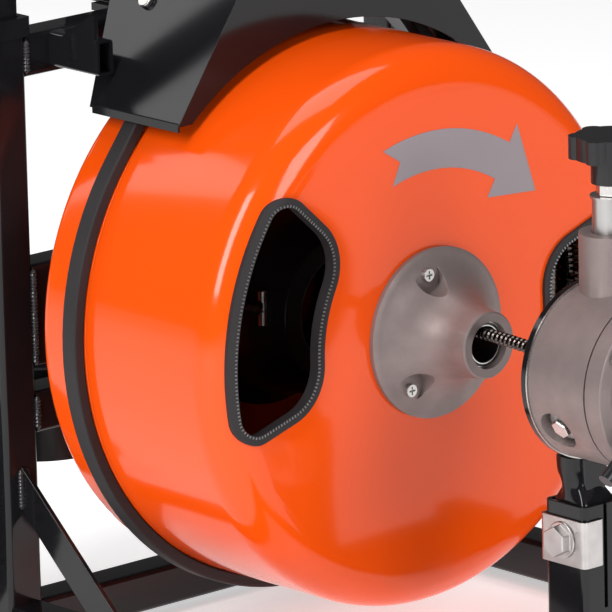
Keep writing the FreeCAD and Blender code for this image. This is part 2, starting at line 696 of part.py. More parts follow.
node(cut("motor_mount", fuse("mount_weld", [mount_face, saddle] + mount_bars + mount_feet),
         [mount_hole, saddle_room]), "motor_mount")

SWITCH_Y = "upright_y + 38.5"
SWITCH_Z = MOTOR_AT[2] + " + 38"
LEVER_Y = SWITCH_Y + " + 28"
switch_case = box("switch_case", ("80", "56", "46"), ("0 - 40", SWITCH_Y, SWITCH_Z))
switch_seat = cylinder(
    "switch_seat", "motor_radius + 0.2", "90", ("0", SWITCH_Y + " - 8", MOTOR_AT[2]), ALONG_Y)
lever_hole = box("lever_hole", ("14", "26", "14"), ("0 - 7", LEVER_Y + " - 13", SWITCH_Z + " + 34"))
node(cut("switch_box", switch_case, [switch_seat, lever_hole]), "switch_box")
GLAND_Z = SWITCH_Z + " + 22"
node(fuse("mains_gland", [
    cylinder("gland_nut", "11", "12", ("40", LEVER_Y, GLAND_Z), ALONG_X),
    cone("gland_tip", ("8", "5.5"), "10", ("52", LEVER_Y, GLAND_Z), ALONG_X)]),
    "mains_gland")
LEVER_Z = SWITCH_Z + " + 40"
node(fuse("switch_lever", [
    cylinder("lever_barrel", "4.5", "12", ("0 - 6", LEVER_Y, LEVER_Z), ALONG_X),
    cylinder("lever_stick", "3", "24", ("0", LEVER_Y, LEVER_Z))]), "switch_lever")

# ---------------------------------------------------------------- belt guard
def guard_slab(name, inset, depth, back):
    """Block in the shape of the guard from y = back forwards, its sides moved in."""
    top = "( guard_top - %s )" % inset
    return plate(name, [
        ("0 - %s + %s" % (guard_half("guard_bottom"), inset), "guard_bottom"),
        ("%s - %s" % (guard_half("guard_bottom"), inset), "guard_bottom"),
        ("%s - %s" % (guard_half(top), inset), top),
        ("0 - %s + %s" % (guard_half(top), inset), top),
    ], depth, ("0", back, "0"))


GUARD_BACK = "guard_y + guard_depth + 78"
guard_block = guard_slab("guard_block", "0", "guard_depth + 78", GUARD_BACK)
guard_room = guard_slab("guard_room", "guard_skin", "guard_depth + 90", GUARD_BACK + " + 14")
arch = cylinder("guard_arch_tool", "guard_arch", "12", ("0", "guard_y - 5", "axis_height"), ALONG_Y)
rear_slope = plate("rear_slope", [
    ("guard_y + guard_depth", "guard_bottom - 5"), (GUARD_BACK + " + 20", "guard_bottom - 5"),
    (GUARD_BACK + " + 20", "guard_top + 20"),
    ("guard_y + guard_depth + 0.45 * ( guard_top + 20 - guard_bottom )", "guard_top + 20"),
], "400", ("0 - 200", "0", "0"), "YZ_Plane")
guard_hood = cut("guard_hood", guard_block, [guard_room, arch, rear_slope])
hems = [
    box("guard_hem_%d" % number, ("guard_sheet", "guard_depth - 1", "6"),
        (low_x, "guard_y + 0.5", "guard_bottom - 4"))
    for number, low_x in enumerate(("0 - guard_half", "guard_half - guard_sheet"))]
node(fuse("belt_guard", [guard_hood] + hems), "belt_guard")

# Screws through the guard's leaning sides into the motor mount's face.
guard_bolts = []
GUARD_NORMAL = math.degrees(math.atan2(1.0, size("guard_lean")))
SCREW_HEIGHTS = (468.0, 520.0)
for side, sign in SIDES:
    for number, height in enumerate(SCREW_HEIGHTS):
        half = size("guard_half") - size("guard_lean") * (height - size("guard_bottom"))
        screw = doc.addObject("Part::Cylinder", "%s_guard_screw_%d" % (side, number))
        bind(screw, Radius="6", Height="4")
        screw.Placement = FreeCAD.Placement(
            V(sign * half, size("motor_front") - 2, height),
            FreeCAD.Rotation(V(0, 1, 0), sign * GUARD_NORMAL))
        guard_bolts.append(screw)
node(group("guard_screws", guard_bolts), "guard_screws")

# ---------------------------------------------------------------- feeder post
POST_LOW = "post_y - post_size / 2"
post_tube = square_tube(
    "post_tube", ("post_size", "post_size", "post_top - foot_height - tube"),
    ("0 - post_size / 2", POST_LOW, "foot_height + tube"), "z", "3", 5.0)
post_slit = box("post_slit", ("3", "8", "80"), ("0 - 1.5", POST_LOW + " - 2", "post_top - 74"))
node(cut("post_outer_tube", post_tube, [post_slit]), "post_outer_tube")

collar_outer = box(
    "collar_outer", ("post_size / 2 + collar_plate - 2.6", "post_size + collar_plate * 2", "collar_height"),
    ("0 - post_size / 2 - collar_plate", POST_LOW + " - collar_plate", "collar_top - collar_height"))
doc.recompute()
collar_soft = rounded("collar_soft", collar_outer, 4.0, [
    number for number in long_edges(collar_outer.Shape, V(0, 0, 1))
    if collar_outer.Shape.Edges[number - 1].CenterOfMass.x < -1])
collar_room = box("collar_room", ("post_size", "post_size + 0.6", "60"),
                  ("0 - post_size / 2 - 0.3", POST_LOW + " - 0.3", "collar_top - 50"))
node(cut("clamp_collar", collar_soft, [collar_room]), "clamp_collar")
BOLT_X = "0 - post_size / 2 - collar_plate"
BOLT_Z = "collar_top - collar_height * 0.47"
hexagon = doc.addObject("Part::Prism", "bolt_hexagon")
hexagon.Polygon = 6
bind(hexagon, Circumradius="11", Height="7.5")
place(hexagon, (BOLT_X + " - 9", "post_y", BOLT_Z), ALONG_X)
bolt_washer = cylinder("bolt_washer", "13", "1.6", (BOLT_X + " - 1.6", "post_y", BOLT_Z), ALONG_X)
node(fuse("post_clamp_bolt", [hexagon, bolt_washer]), "post_clamp_bolt")

# Sliding part of the post with the feeder's round back plate.
FEED_Z = "axis_height + cable_rise"
node(square_tube(
    "post_inner_tube", ("post_inner", "post_inner", "110"),
    ("0 - post_inner / 2", "post_y - post_inner / 2", "72"), "z", "2.5", 5.0), "post_inner_tube")
back_disc = cylinder("back_disc", "feeder_radius + 1", "5", ("0", "feeder_back", FEED_Z), ALONG_Y)
back_tongue = box("back_tongue", ("20", "5", "40"), ("0 - 10", "feeder_back", "160"))
tongue_pad = box("tongue_pad", ("20", "5", "22"), ("0 - 10", "feeder_back - 2", "160"))
back_hole = cylinder("back_hole", "16", "9", ("0", "feeder_back - 2", FEED_Z), ALONG_Y)
node(cut("feeder_back_plate", fuse("back_weld", [back_disc, back_tongue, tongue_pad]), [back_hole]),
     "feeder_back_plate")

# ---------------------------------------------------------------- feeder
FEED_CENTRE = V(0, size("roller_y"), size("axis_height") + size("cable_rise"))
housing_round = cylinder("housing_round", "feeder_radius", "feeder_back - feeder_split",
                         ("0", "feeder_split", FEED_Z), ALONG_Y)
boss = cylinder("boss", "boss_radius", "boss_top - axis_height - cable_rise",
                ("0", "roller_y", FEED_Z))
feeder_bore = cylinder("feeder_bore", "16", "80", ("0", "feeder_split - 4", FEED_Z), ALONG_Y)
chamber = cylinder("chamber", "30", "34", ("0", "roller_y - 17", FEED_Z), ALONG_Y)
plate_room = cylinder("plate_room", "feeder_radius + 1.3", "10", ("0", "feeder_back", FEED_Z), ALONG_Y)
boss_bore = cylinder("boss_bore", "14", "boss_top - axis_height + 9", ("0", "roller_y", FEED_Z))


def radial(name, radius, near, far, degrees, y=size("roller_y")):
    """Cylinder that points out from the feeder's axis, between two distances."""
    direction = polar(1.0, degrees)
    obj = doc.addObject("Part::Cylinder", name)
    bind(obj, Radius=radius, Height="%s" % (far - near))
    obj.Placement = FreeCAD.Placement(
        V(0, y, FEED_CENTRE.z) + direction * near, FreeCAD.Rotation(V(0, 0, 1), direction))
    return obj


LOW_ROLLERS = [("left", 210), ("right", 330)]
recesses = [radial(side + "_recess", "15", 50, 80, angle) for side, angle in LOW_ROLLERS]
recesses += [radial(side + "_pin_bore", "9.2", 20, 60, angle) for side, angle in LOW_ROLLERS]
node(cut("feeder_housing", fuse("housing_cast", [housing_round, boss]),
         [feeder_bore, chamber, boss_bore, plate_room] + recesses), "feeder_housing")

cover_round = cylinder("cover_round", "feeder_radius", "feeder_split - feeder_front - 0.6",
                       ("0", "feeder_front", FEED_Z), ALONG_Y)
cover_nose = cylinder("cover_nose", "21", "24", ("0", "feeder_front - 22", FEED_Z), ALONG_Y)
cover_bore = cylinder("cover_bore", "9", "80", ("0", "feeder_front - 30", FEED_Z), ALONG_Y)
dish_out = cylinder("dish_out", "50", "5", ("0", "feeder_front - 1", FEED_Z), ALONG_Y)
dish_in = cylinder("dish_in", "30", "9", ("0", "feeder_front - 3", FEED_Z), ALONG_Y)
cover_dish = cut("cover_dish", dish_out, [dish_in])
node(cut("feeder_cover", fuse("cover_cast", [cover_round, cover_nose]), [cover_bore, cover_dish]),
     "feeder_cover")

# Direction lever: a ring that turns on the cover's nose, with a black arm.
ring_out = cylinder("ring_out", "29", "10", ("0", "feeder_front - 16", FEED_Z), ALONG_Y)
ring_in = cylinder("ring_in", "21 + fit", "20", ("0", "feeder_front - 20", FEED_Z), ALONG_Y)
lever_ring = cut("lever_ring", ring_out, [ring_in])
lever_arm = radial("lever_arm", "5.5", 25, 85, 217, size("feeder_front") - 11)
node(fuse("feed_lever", [lever_ring, lever_arm]), "feed_lever")

# Plungers, each ending in a fork with a pin that carries a roller. The upper plunger is
# pressed down by the star knob.
ROLLER_REACH = size("cable_radius") + 0.35 + size("roller_radius")
FORK_NEAR, FORK_FAR = 8.0, 28.0
STEM_NEAR = 27.0
FORK_SHEET, FORK_WIDTH = 2.0, 12.0
PIN_RADIUS = 2.5


def roller_way(degrees):
    """Direction of one roller's pin, leaning to the cable."""
    across = polar(1.0, degrees).cross(V(0, 1, 0))
    lean = math.radians(size("roller_skew"))
    return V(0, 1, 0) * math.cos(lean) + across * math.sin(lean)


def fork(side, degrees):
    """Two cheeks and the pin between them, on one plunger's inner end."""
    outward, pin_way = polar(1.0, degrees), roller_way(degrees)
    turn = FreeCAD.Rotation(outward.cross(pin_way) * -1, pin_way, outward, "ZYX")
    pieces = []
    for end, offset in (("front", -1), ("back", 1)):
        cheek = doc.addObject("Part::Box", "%s_%s_cheek" % (side, end))
        bind(cheek, Length=FORK_WIDTH, Width=FORK_SHEET, Height=FORK_FAR - FORK_NEAR)
        middle = offset * (size("roller_length") / 2 + 0.5 + FORK_SHEET / 2) - FORK_SHEET / 2
        corner = FEED_CENTRE + outward * FORK_NEAR + pin_way * middle
        cheek.Placement = FreeCAD.Placement(
            corner - turn.multVec(V(FORK_WIDTH / 2, 0, 0)), turn)
        pieces.append(cheek)
    pin = doc.addObject("Part::Cylinder", side + "_pin")
    reach = size("roller_length") / 2 + 0.5 + FORK_SHEET
    bind(pin, Radius=PIN_RADIUS, Height=2 * reach)
    pin.Placement = FreeCAD.Placement(
        FEED_CENTRE + outward * ROLLER_REACH - pin_way * reach,
        FreeCAD.Rotation(V(0, 0, 1), pin_way))
    return pieces + [pin]


top_washer = radial("top_washer", "15", 123.4, 125.2, 90)
plungers = [fuse("top_plunger", [radial("top_sleeve", "13.6", STEM_NEAR, 125.2, 90), top_washer]
                 + fork("top", 90))]
for side, angle in LOW_ROLLERS:
    stem = radial(side + "_stem", "9", STEM_NEAR, 49.5, angle)
    link = radial(side + "_link", "6", 48, 52, angle)
    nut = radial(side + "_nut", "12", 50.3, 55, angle)
    plungers.append(fuse(side + "_plunger", [stem, link, nut] + fork(side, angle)))
node(group("roller_plungers", plungers), "roller_plungers")
for side, angle in [("top", 90)] + LOW_ROLLERS:
    pin_way = roller_way(angle)
    middle = FEED_CENTRE + polar(ROLLER_REACH, angle)
    half_length = size("roller_length") / 2
    barrel = doc.addObject("Part::Cylinder", side + "_roller_barrel")
    bind(barrel, Radius="roller_radius", Height="roller_length")
    barrel.Placement = FreeCAD.Placement(
        middle - pin_way * half_length, FreeCAD.Rotation(V(0, 0, 1), pin_way))
    bore = doc.addObject("Part::Cylinder", side + "_roller_bore")
    bind(bore, Radius="%s + fit" % PIN_RADIUS, Height="roller_length + 4")
    bore.Placement = FreeCAD.Placement(
        middle - pin_way * (half_length + 2), FreeCAD.Rotation(V(0, 0, 1), pin_way))
    node(cut(side + "_roller", barrel, [bore]), side + "_roller")

STEM_Z = "axis_height + cable_rise + 125.6"
screw_stem = cylinder("screw_stem", "6", "12", ("0", "roller_y", STEM_Z))
lock_nut = doc.addObject("Part::Prism", "lock_nut")
lock_nut.Polygon = 6
bind(lock_nut, Circumradius="11", Height="8")
place(lock_nut, ("0", "roller_y", STEM_Z + " + 0.4"))
knob_neck = cylinder("knob_neck", "14", "17.4", ("0", "roller_y", STEM_Z + " + 8"))
knob_disc = cylinder("knob_disc", "knob_radius - 4", "16", ("0", "roller_y", STEM_Z + " + 25.4"))
LOBES = 6
lobes = []
for number in range(LOBES):
    spot = polar(1.0, 360.0 / LOBES * number + 20)
    lobes.append(cylinder(
        "lobe_%d" % number, "7.5", "16",
        ("%.5f * ( knob_radius - 7.5 )" % spot.x, "roller_y + %.5f * ( knob_radius - 7.5 )" % spot.z,
         STEM_Z + " + 25.4")))
knob_stem = fuse("knob_stem", [screw_stem, lock_nut, knob_neck])
knob_star = fuse("knob_star", [knob_disc] + lobes)
node(fuse("feeder_knob", [knob_stem, knob_star]), "feeder_knob")

# ---------------------------------------------------------------- cable
SPAN_END = size("feeder_back") + 5.6
SPAN_ROUTE = [V(0, -58, AXIS_Z + NOSE_RISE), V(0, -100, AXIS_Z + 7.2), V(0, -142, AXIS_Z + 5.0),
              V(0, SPAN_END, AXIS_Z + size("cable_rise"))]
node(tube_along("cable_span", SPAN_ROUTE, CABLE_R), "cable_span")
node(cylinder("feed_cable", "cable_radius", "feeder_back + 5 - feeder_front + cable_out",
              ("0", "feeder_front - cable_out", FEED_Z), ALONG_Y), "feed_cable")
COUPLING_Y = "feeder_front - cable_out"
node(turned("cable_coupling", [
    ("0", COUPLING_Y + " - 0.3"), ("6.5", COUPLING_Y + " - 0.3"), ("7.5", COUPLING_Y + " - 4"),
    ("7.5", COUPLING_Y + " - 20"), ("4.5", COUPLING_Y + " - 22"), ("4.5", COUPLING_Y + " - 32"),
    ("0", COUPLING_Y + " - 34"),
], ("0", "0", FEED_Z)), "cable_coupling")

# ---------------------------------------------------------------- wheels
TO_X = FreeCAD.Rotation(V(0, 0, 1), -90)
AXLE_LENGTH = "wheel_side + wheel_width + 8 - frame_inner - 12"


def wheel_part(label, path, at):
    """Body turned about the wheel's axis from (radius, distance across) corners."""
    body = turned(label, path, at)
    body.Placement = FreeCAD.Placement(body.Placement.Base, TO_X)
    return node(body, label)


for side, sign in SIDES:
    wheel_at = (side_x(sign, "wheel_side", "wheel_width"), "wheel_y", "wheel_radius")
    ear = plate(side + "_ear", [
        ("upright_y + tube", "foot_height"), ("wheel_y + 14", "wheel_radius - 16"),
        ("wheel_y + 14", "wheel_radius + 16"), ("upright_y + tube", "lower_cross_top - 20"),
    ], "6", (side_x(sign, "frame_inner + 12", "6"), "0", "0"), "YZ_Plane")
    axle_at = (side_x(sign, "frame_inner + 12", AXLE_LENGTH), "wheel_y", "wheel_radius")
    axle = cylinder(side + "_axle", "axle_radius", AXLE_LENGTH, axle_at, ALONG_X)
    node(fuse(side + "_wheel_bracket", [ear, axle]), side + "_wheel_bracket")
    wheel_part(side + "_rim", [
        ("axle_radius + fit", "2"), ("22", "2"), ("24", "14"), ("66", "16"), ("72", "4"), ("76", "4"),
        ("76", "wheel_width - 4"), ("72", "wheel_width - 4"), ("66", "wheel_width - 16"),
        ("24", "wheel_width - 14"), ("22", "wheel_width - 2"), ("axle_radius + fit", "wheel_width - 2"),
    ], wheel_at)
    wheel_part(side + "_tyre", [
        ("76.2", "3"), ("wheel_radius - 8", "0"),
        ("wheel_radius", "8", "wheel_radius - 2.3", "2.3"),
        ("wheel_radius", "wheel_width - 8"),
        ("wheel_radius - 8", "wheel_width", "wheel_radius - 2.3", "wheel_width - 2.3"),
        ("76.2", "wheel_width - 3"),
    ], wheel_at)

# ---------------------------------------------------------------- handle and tool pot
HANDLE_SIDE = "frame_inner + tube / 2 - handle_tube / 2"
HANDLE_Y = "upright_y + tube / 2 - handle_tube / 2"
legs = []
for side, sign in SIDES:
    legs.append(square_tube(
        side + "_leg", ("handle_tube", "handle_tube", "handle_height - 180"),
        (side_x(sign, HANDLE_SIDE, "handle_tube"), HANDLE_Y, "180"), "z", "2", 3.0))
crossbar = square_tube(
    "crossbar", ("2 * ( " + HANDLE_SIDE + " )", "handle_tube", "handle_tube"),
    ("0 - ( " + HANDLE_SIDE + " )", HANDLE_Y, "handle_height - handle_tube"), "x", "2", 3.0)
node(fuse("handle_frame", legs + [crossbar]), "handle_frame")
grip_out = cylinder(
    "grip_out", "19", "180",
    ("0 - 90", "upright_y + tube / 2", "handle_height - handle_tube / 2"), ALONG_X)
grip_in = box("grip_in", ("200", "handle_tube + 0.1", "handle_tube + 0.1"),
              ("0 - 100", HANDLE_Y + " - 0.05", "handle_height - handle_tube - 0.05"))
node(cut("handle_grip", grip_out, [grip_in]), "handle_grip")

# Round pot for tools, its tab on the rear face of the lower cross tube.
POT_X, POT_Y = "0 - 92", "upright_y + tube + 62"
pot_wall = cone("pot_wall", ("52", "58"), "70", (POT_X, POT_Y, "lower_cross_top - 70"))
pot_lip = cylinder("pot_lip", "61", "4", (POT_X, POT_Y, "lower_cross_top - 4"))
pot_room = cone("pot_room", ("49", "55"), "72", (POT_X, POT_Y, "lower_cross_top - 66"))
pot_tab = box("pot_tab", ("30", "8", "28"), ("0 - 107", "upright_y + tube", "lower_cross_top - 30"))
node(cut("tool_pot", fuse("pot_moulding", [pot_wall, pot_lip, pot_tab]), [pot_room]), "tool_pot")

# ---------------------------------------------------------------- check and write
doc.recompute()
faults = []
for obj in doc.Objects:
    if "Invalid" in obj.State or "Error" in obj.State:
        faults.append("%s: %s" % (obj.Name, obj.State))
for obj in NODES:
    if obj.Shape.isNull() or not obj.Shape.isValid():
        faults.append("%s: bad shape" % obj.Label)
    if not obj.Shape.Solids:
        faults.append("%s: no solid" % obj.Label)
if faults:
    raise RuntimeError("; ".join(faults))
for obj in NODES:
    obj.Shape.exportStep("parts/%s.step" % obj.Label)
print("%d sub-parts written" % len(NODES))
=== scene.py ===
"""Drain snake machine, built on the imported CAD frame: finishes, spring cable, welds and trim."""

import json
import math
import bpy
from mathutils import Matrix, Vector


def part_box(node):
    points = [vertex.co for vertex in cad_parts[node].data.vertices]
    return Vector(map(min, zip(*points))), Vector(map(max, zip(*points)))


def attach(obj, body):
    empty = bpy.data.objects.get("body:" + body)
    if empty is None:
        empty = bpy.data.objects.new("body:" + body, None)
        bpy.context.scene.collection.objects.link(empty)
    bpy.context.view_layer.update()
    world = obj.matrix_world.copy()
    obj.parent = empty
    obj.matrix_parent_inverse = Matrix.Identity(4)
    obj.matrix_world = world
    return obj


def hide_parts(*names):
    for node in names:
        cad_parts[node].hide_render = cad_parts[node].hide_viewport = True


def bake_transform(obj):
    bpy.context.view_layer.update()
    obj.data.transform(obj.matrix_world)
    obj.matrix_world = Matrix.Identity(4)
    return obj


bl_info = {
    "name": "Drain Snake Machine",
    "version": (1, 0, 0),
    "blender": (4, 5, 0),
    "location": "View3D > Sidebar > Drain Machine",
    "description": "Dresses the frame of a drum drain machine with its finishes and small parts",
    "category": "Object",
}

from typing import NamedTuple

import bmesh
import bpy
import numpy as np
from mathutils import Matrix, Vector

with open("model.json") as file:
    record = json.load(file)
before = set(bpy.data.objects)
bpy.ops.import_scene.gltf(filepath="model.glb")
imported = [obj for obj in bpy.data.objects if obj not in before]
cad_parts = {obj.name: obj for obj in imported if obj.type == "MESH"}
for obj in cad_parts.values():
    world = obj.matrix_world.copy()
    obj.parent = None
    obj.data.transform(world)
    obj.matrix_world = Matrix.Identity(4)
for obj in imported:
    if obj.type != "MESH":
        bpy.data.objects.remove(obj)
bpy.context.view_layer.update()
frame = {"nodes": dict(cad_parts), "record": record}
NODE_BODY = {
    node: body
    for body, nodes in frame["record"]["behaviour"]["bodies"].items()
    for node in nodes
}
SLOTS = {part["node"]: part["material_slot"] for part in frame["record"]["subparts"]}
MM = 0.001
AXIS_HEIGHT = sum(corner[2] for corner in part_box("drum_front_shell")) / 2
DRUM_RADIUS = (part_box("drum_front_shell")[1][0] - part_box("drum_front_shell")[0][0]) / 2
FEED_HEIGHT = sum(corner[2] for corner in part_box("feed_cable")) / 2
CABLE_RADIUS = (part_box("feed_cable")[1][0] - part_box("feed_cable")[0][0]) / 2
FACE_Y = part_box("rotation_arrow")[1][1]


# ---------------------------------------------------------------- settings
class DrainMachineSettings(bpy.types.PropertyGroup):
    """Sizes and colours that a user would change."""

    drum_colour: bpy.props.FloatVectorProperty(
        name="Drum colour", description="Colour of the moulded drum", subtype="COLOR",
        default=(0.95, 0.088, 0.003), min=0.0, max=1.0)
    frame_colour: bpy.props.FloatVectorProperty(
        name="Frame colour", description="Paint on the tubes and the guard", subtype="COLOR",
        default=(0.006, 0.006, 0.007), min=0.0, max=1.0)
    casting_colour: bpy.props.FloatVectorProperty(
        name="Casting colour", description="Cast alloy of the hub and the feeder", subtype="COLOR",
        default=(0.31, 0.25, 0.24), min=0.0, max=1.0)
    edge_round: bpy.props.FloatProperty(
        name="Edge rounding", description="Rounding of the pressed and cut edges", unit="LENGTH",
        default=0.0008, min=0.0, max=0.003)
    wire_diameter: bpy.props.FloatProperty(
        name="Cable wire", description="Diameter of the wire the cable is coiled from",
        unit="LENGTH", default=0.0032, min=0.001, max=0.004)
    wire_pitch: bpy.props.FloatProperty(
        name="Cable pitch", description="Distance between two turns of the cable's wire",
        unit="LENGTH", default=0.0043, min=0.002, max=0.008)
    weld_radius: bpy.props.FloatProperty(
        name="Weld bead", description="Radius of the weld beads on the frame", unit="LENGTH",
        default=0.0024, min=0.001, max=0.005)
    tread_depth: bpy.props.FloatProperty(
        name="Tread depth", description="Depth of the grooves in the tyres", unit="LENGTH",
        default=0.0025, min=0.0, max=0.006)


def settings():
    """The scene's own copy of the sizes and colours."""
    return bpy.context.scene.drain_machine


def box_mm(node):
    """Low and high corner of a CAD node, in millimetres."""
    return tuple(np.array(corner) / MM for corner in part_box(node))


# ---------------------------------------------------------------- materials
def surface_group():
    """Node group that makes a finish uneven.

    Broad noise mixes the two colours and moves the roughness; fine noise gives the height.
    """
    name = "Uneven finish"
    if name in bpy.data.node_groups:
        return bpy.data.node_groups[name]
    group = bpy.data.node_groups.new(name, "ShaderNodeTree")
    for socket, kind, default in (
            ("Colour", "NodeSocketColor", (0.5, 0.5, 0.5, 1)),
            ("Second colour", "NodeSocketColor", (0.4, 0.4, 0.4, 1)),
            ("Broad scale", "NodeSocketFloat", 12.0),
            ("Fine scale", "NodeSocketFloat", 300.0),
            ("Roughness", "NodeSocketFloat", 0.3),
            ("Roughness spread", "NodeSocketFloat", 0.1)):
        item = group.interface.new_socket(socket, in_out="INPUT", socket_type=kind)
        item.default_value = default
    for socket, kind in (("Colour", "NodeSocketColor"), ("Roughness", "NodeSocketFloat"),
                         ("Height", "NodeSocketFloat")):
        group.interface.new_socket(socket, in_out="OUTPUT", socket_type=kind)
    nodes, links = group.nodes, group.links
    source, sink = nodes.new("NodeGroupInput"), nodes.new("NodeGroupOutput")
    place = nodes.new("ShaderNodeTexCoord")
    broad, fine = nodes.new("ShaderNodeTexNoise"), nodes.new("ShaderNodeTexNoise")
    broad.inputs["Detail"].default_value = 3.0
    fine.inputs["Detail"].default_value = 2.0
    mix = nodes.new("ShaderNodeMix")
    mix.data_type = "RGBA"
    rough = nodes.new("ShaderNodeMath")
    rough.operation = "MULTIPLY_ADD"
    centred = nodes.new("ShaderNodeMath")
    centred.operation = "SUBTRACT"
    centred.inputs[1].default_value = 0.5
    links.new(place.outputs["Object"], broad.inputs["Vector"])
    links.new(place.outputs["Object"], fine.inputs["Vector"])
    links.new(source.outputs["Broad scale"], broad.inputs["Scale"])
    links.new(source.outputs["Fine scale"], fine.inputs["Scale"])
    links.new(broad.outputs["Fac"], mix.inputs["Factor"])
    links.new(source.outputs["Colour"], mix.inputs["A"])
    links.new(source.outputs["Second colour"], mix.inputs["B"])
    links.new(broad.outputs["Fac"], centred.inputs[0])
    links.new(centred.outputs[0], rough.inputs[0])
    links.new(source.outputs["Roughness spread"], rough.inputs[1])
    links.new(source.outputs["Roughness"], rough.inputs[2])
    links.new(mix.outputs["Result"], sink.inputs["Colour"])
    links.new(rough.outputs[0], sink.inputs["Roughness"])
    links.new(fine.outputs["Fac"], sink.inputs["Height"])
    return group


def shade(colour, factor):
    """A colour made lighter or darker, with its alpha."""
    return tuple(min(1.0, channel * factor) for channel in colour[:3]) + (1.0,)


class Finish(NamedTuple):
    """How one finish looks."""

    colour: object  # a colour, or the name of the setting that holds it
    second: float  # brightness of the colour mixed in, against the first
    broad: float  # scale of the broad noise
    fine: float  # scale of the fine noise
    roughness: float
    spread: float  # range of the roughness
    metallic: float
    bump: float  # strength of the bump
    depth: float  # height of the bump, in millimetres
    coat: float = 0.0
    specular: float = 0.5


FINISHES = {
    "drum_shell": Finish("drum_colour", 0.93, 5, 900, 0.13, 0.06, 0.0, 0.04, 0.04, 0.25, 0.25),
    "frame_paint": Finish("frame_colour", 1.7, 9, 700, 0.12, 0.08, 0.0, 0.06, 0.05, 0.0, 0.34),
    "cast_alloy": Finish("casting_colour", 0.72, 80, 900, 0.50, 0.12, 0.55, 0.7, 0.2),
    "arrow_grey": Finish((0.30, 0.25, 0.27), 0.93, 30, 800, 0.42, 0.1, 0.0, 0.05, 0.05),
    "black_rubber": Finish(
        (0.016, 0.014, 0.015), 1.8, 30, 1100, 0.58, 0.15, 0.0, 0.35, 0.1, 0.0, 0.3),
    "bright_steel": Finish((0.62, 0.60, 0.58), 0.8, 60, 900, 0.27, 0.12, 1.0, 0.08, 0.05),
    "zinc": Finish((0.62, 0.59, 0.58), 0.72, 90, 700, 0.34, 0.2, 1.0, 0.2, 0.05),
    "roller_steel": Finish((0.55, 0.54, 0.53), 0.8, 60, 900, 0.4, 0.1, 1.0, 0.1, 0.05),
    "spring_steel": Finish((0.14, 0.12, 0.11), 0.6, 120, 900, 0.22, 0.15, 1.0, 0.2, 0.05),
    "black_plastic": Finish(
        (0.008, 0.008, 0.009), 1.8, 20, 1600, 0.32, 0.12, 0.0, 0.3, 0.06, 0.0, 0.4),
    "motor_grey": Finish(
        (0.045, 0.046, 0.05), 1.4, 20, 1000, 0.38, 0.12, 0.0, 0.25, 0.06, 0.1),
    "rim_plastic": Finish((0.38, 0.38, 0.37), 0.88, 18, 900, 0.35, 0.1, 0.0, 0.1, 0.05),
    "tyre_rubber": Finish((0.018, 0.018, 0.018), 2.0, 24, 900, 0.7, 0.15, 0.0, 0.4, 0.12),
    "weld": Finish((0.02, 0.02, 0.022), 2.2, 60, 900, 0.28, 0.1, 0.1, 0.5, 0.1, 0.3),
    # Near black. Where it fills the inside of the cable's coils and the fan cover's slots it is
    # painted shade only. On the inner drum, whose plastic is black, and on the nose bush it
    # replaces their own finish and adds painted shade of the dim drum and nose.
    "inner_black": Finish((0.012, 0.011, 0.011), 1.8, 16, 900, 0.32, 0.15, 0.0, 0.2, 0.05),
    "metal_tick": Finish((0.30, 0.29, 0.29), 0.7, 60, 900, 0.35, 0.1, 0.6, 0.1, 0.05),
}
COAT_ROUGHNESS = 0.06


def finish(name):
    """The material of one finish, made on first use.

    The frame brings in plain materials named like its slots, so these take names of their own.
    """
    title = name + "_finish"
    if title in bpy.data.materials:
        return bpy.data.materials[title]
    look = FINISHES[name]
    colour = getattr(settings(), look.colour) if isinstance(look.colour, str) else look.colour
    material = bpy.data.materials.new(title)
    material.use_nodes = True
    nodes, links = material.node_tree.nodes, material.node_tree.links
    shader = nodes["Principled BSDF"]
    uneven, bump = nodes.new("ShaderNodeGroup"), nodes.new("ShaderNodeBump")
    uneven.node_tree = surface_group()
    for node, socket, value in (
            (shader, "Metallic", look.metallic),
            (shader, "Coat Weight", look.coat),
            (shader, "Coat Roughness", COAT_ROUGHNESS),
            (shader, "Specular IOR Level", look.specular),
            (uneven, "Colour", shade(colour, 1.0)),
            (uneven, "Second colour", shade(colour, look.second)),
            (uneven, "Broad scale", look.broad),
            (uneven, "Fine scale", look.fine),
            (uneven, "Roughness", look.roughness),
            (uneven, "Roughness spread", look.spread),
            (bump, "Strength", look.bump),
            (bump, "Distance", look.depth * MM)):
        node.inputs[socket].default_value = value
    links.new(uneven.outputs["Colour"], shader.inputs["Base Color"])
    links.new(uneven.outputs["Roughness"], shader.inputs["Roughness"])
    links.new(uneven.outputs["Height"], bump.inputs["Height"])
    links.new(bump.outputs["Normal"], shader.inputs["Normal"])
    return material


# ---------------------------------------------------------------- meshes
FACET_JOIN = 2e-6  # corners of a CAD facet that are nearer than this are one
FACET_FLAT = 0.5  # facets that turn by less than this, in degrees, are one face


def soften(piece, width, segments=2, angle=30.0):
    """Rounds the edges of a piece that are sharper than the angle, and shades it smooth."""
    piece.data.shade_smooth()
    piece.data.set_sharp_from_angle(angle=math.radians(angle))
    if width > 0:
        bevel = piece.modifiers.new("edges", "BEVEL")
        bevel.width = width
        bevel.segments = segments
        bevel.limit_method = "ANGLE"
        bevel.angle_limit = math.radians(angle)
        bevel.harden_normals = True


def dressed(node, width=None, material=None, angle=30.0):
    """Stands in for a CAD node: its facets joined, its edges rounded, its finish on it."""
    mesh = frame["nodes"][node].data.copy()
    work = bmesh.new()
    work.from_mesh(mesh)
    bmesh.ops.remove_doubles(work, verts=work.verts, dist=FACET_JOIN)
    bmesh.ops.dissolve_limit(
        work, angle_limit=math.radians(FACET_FLAT), verts=work.verts, edges=work.edges)
    work.to_mesh(mesh)
    work.free()
    mesh.materials.clear()
    mesh.materials.append(finish(material or SLOTS[node]))
    piece = bpy.data.objects.new(node + "_skin", mesh)
    bpy.context.scene.collection.objects.link(piece)
    soften(piece, settings().edge_round if width is None else width, angle=angle)
    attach(piece, NODE_BODY[node])
    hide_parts(node)
    return piece


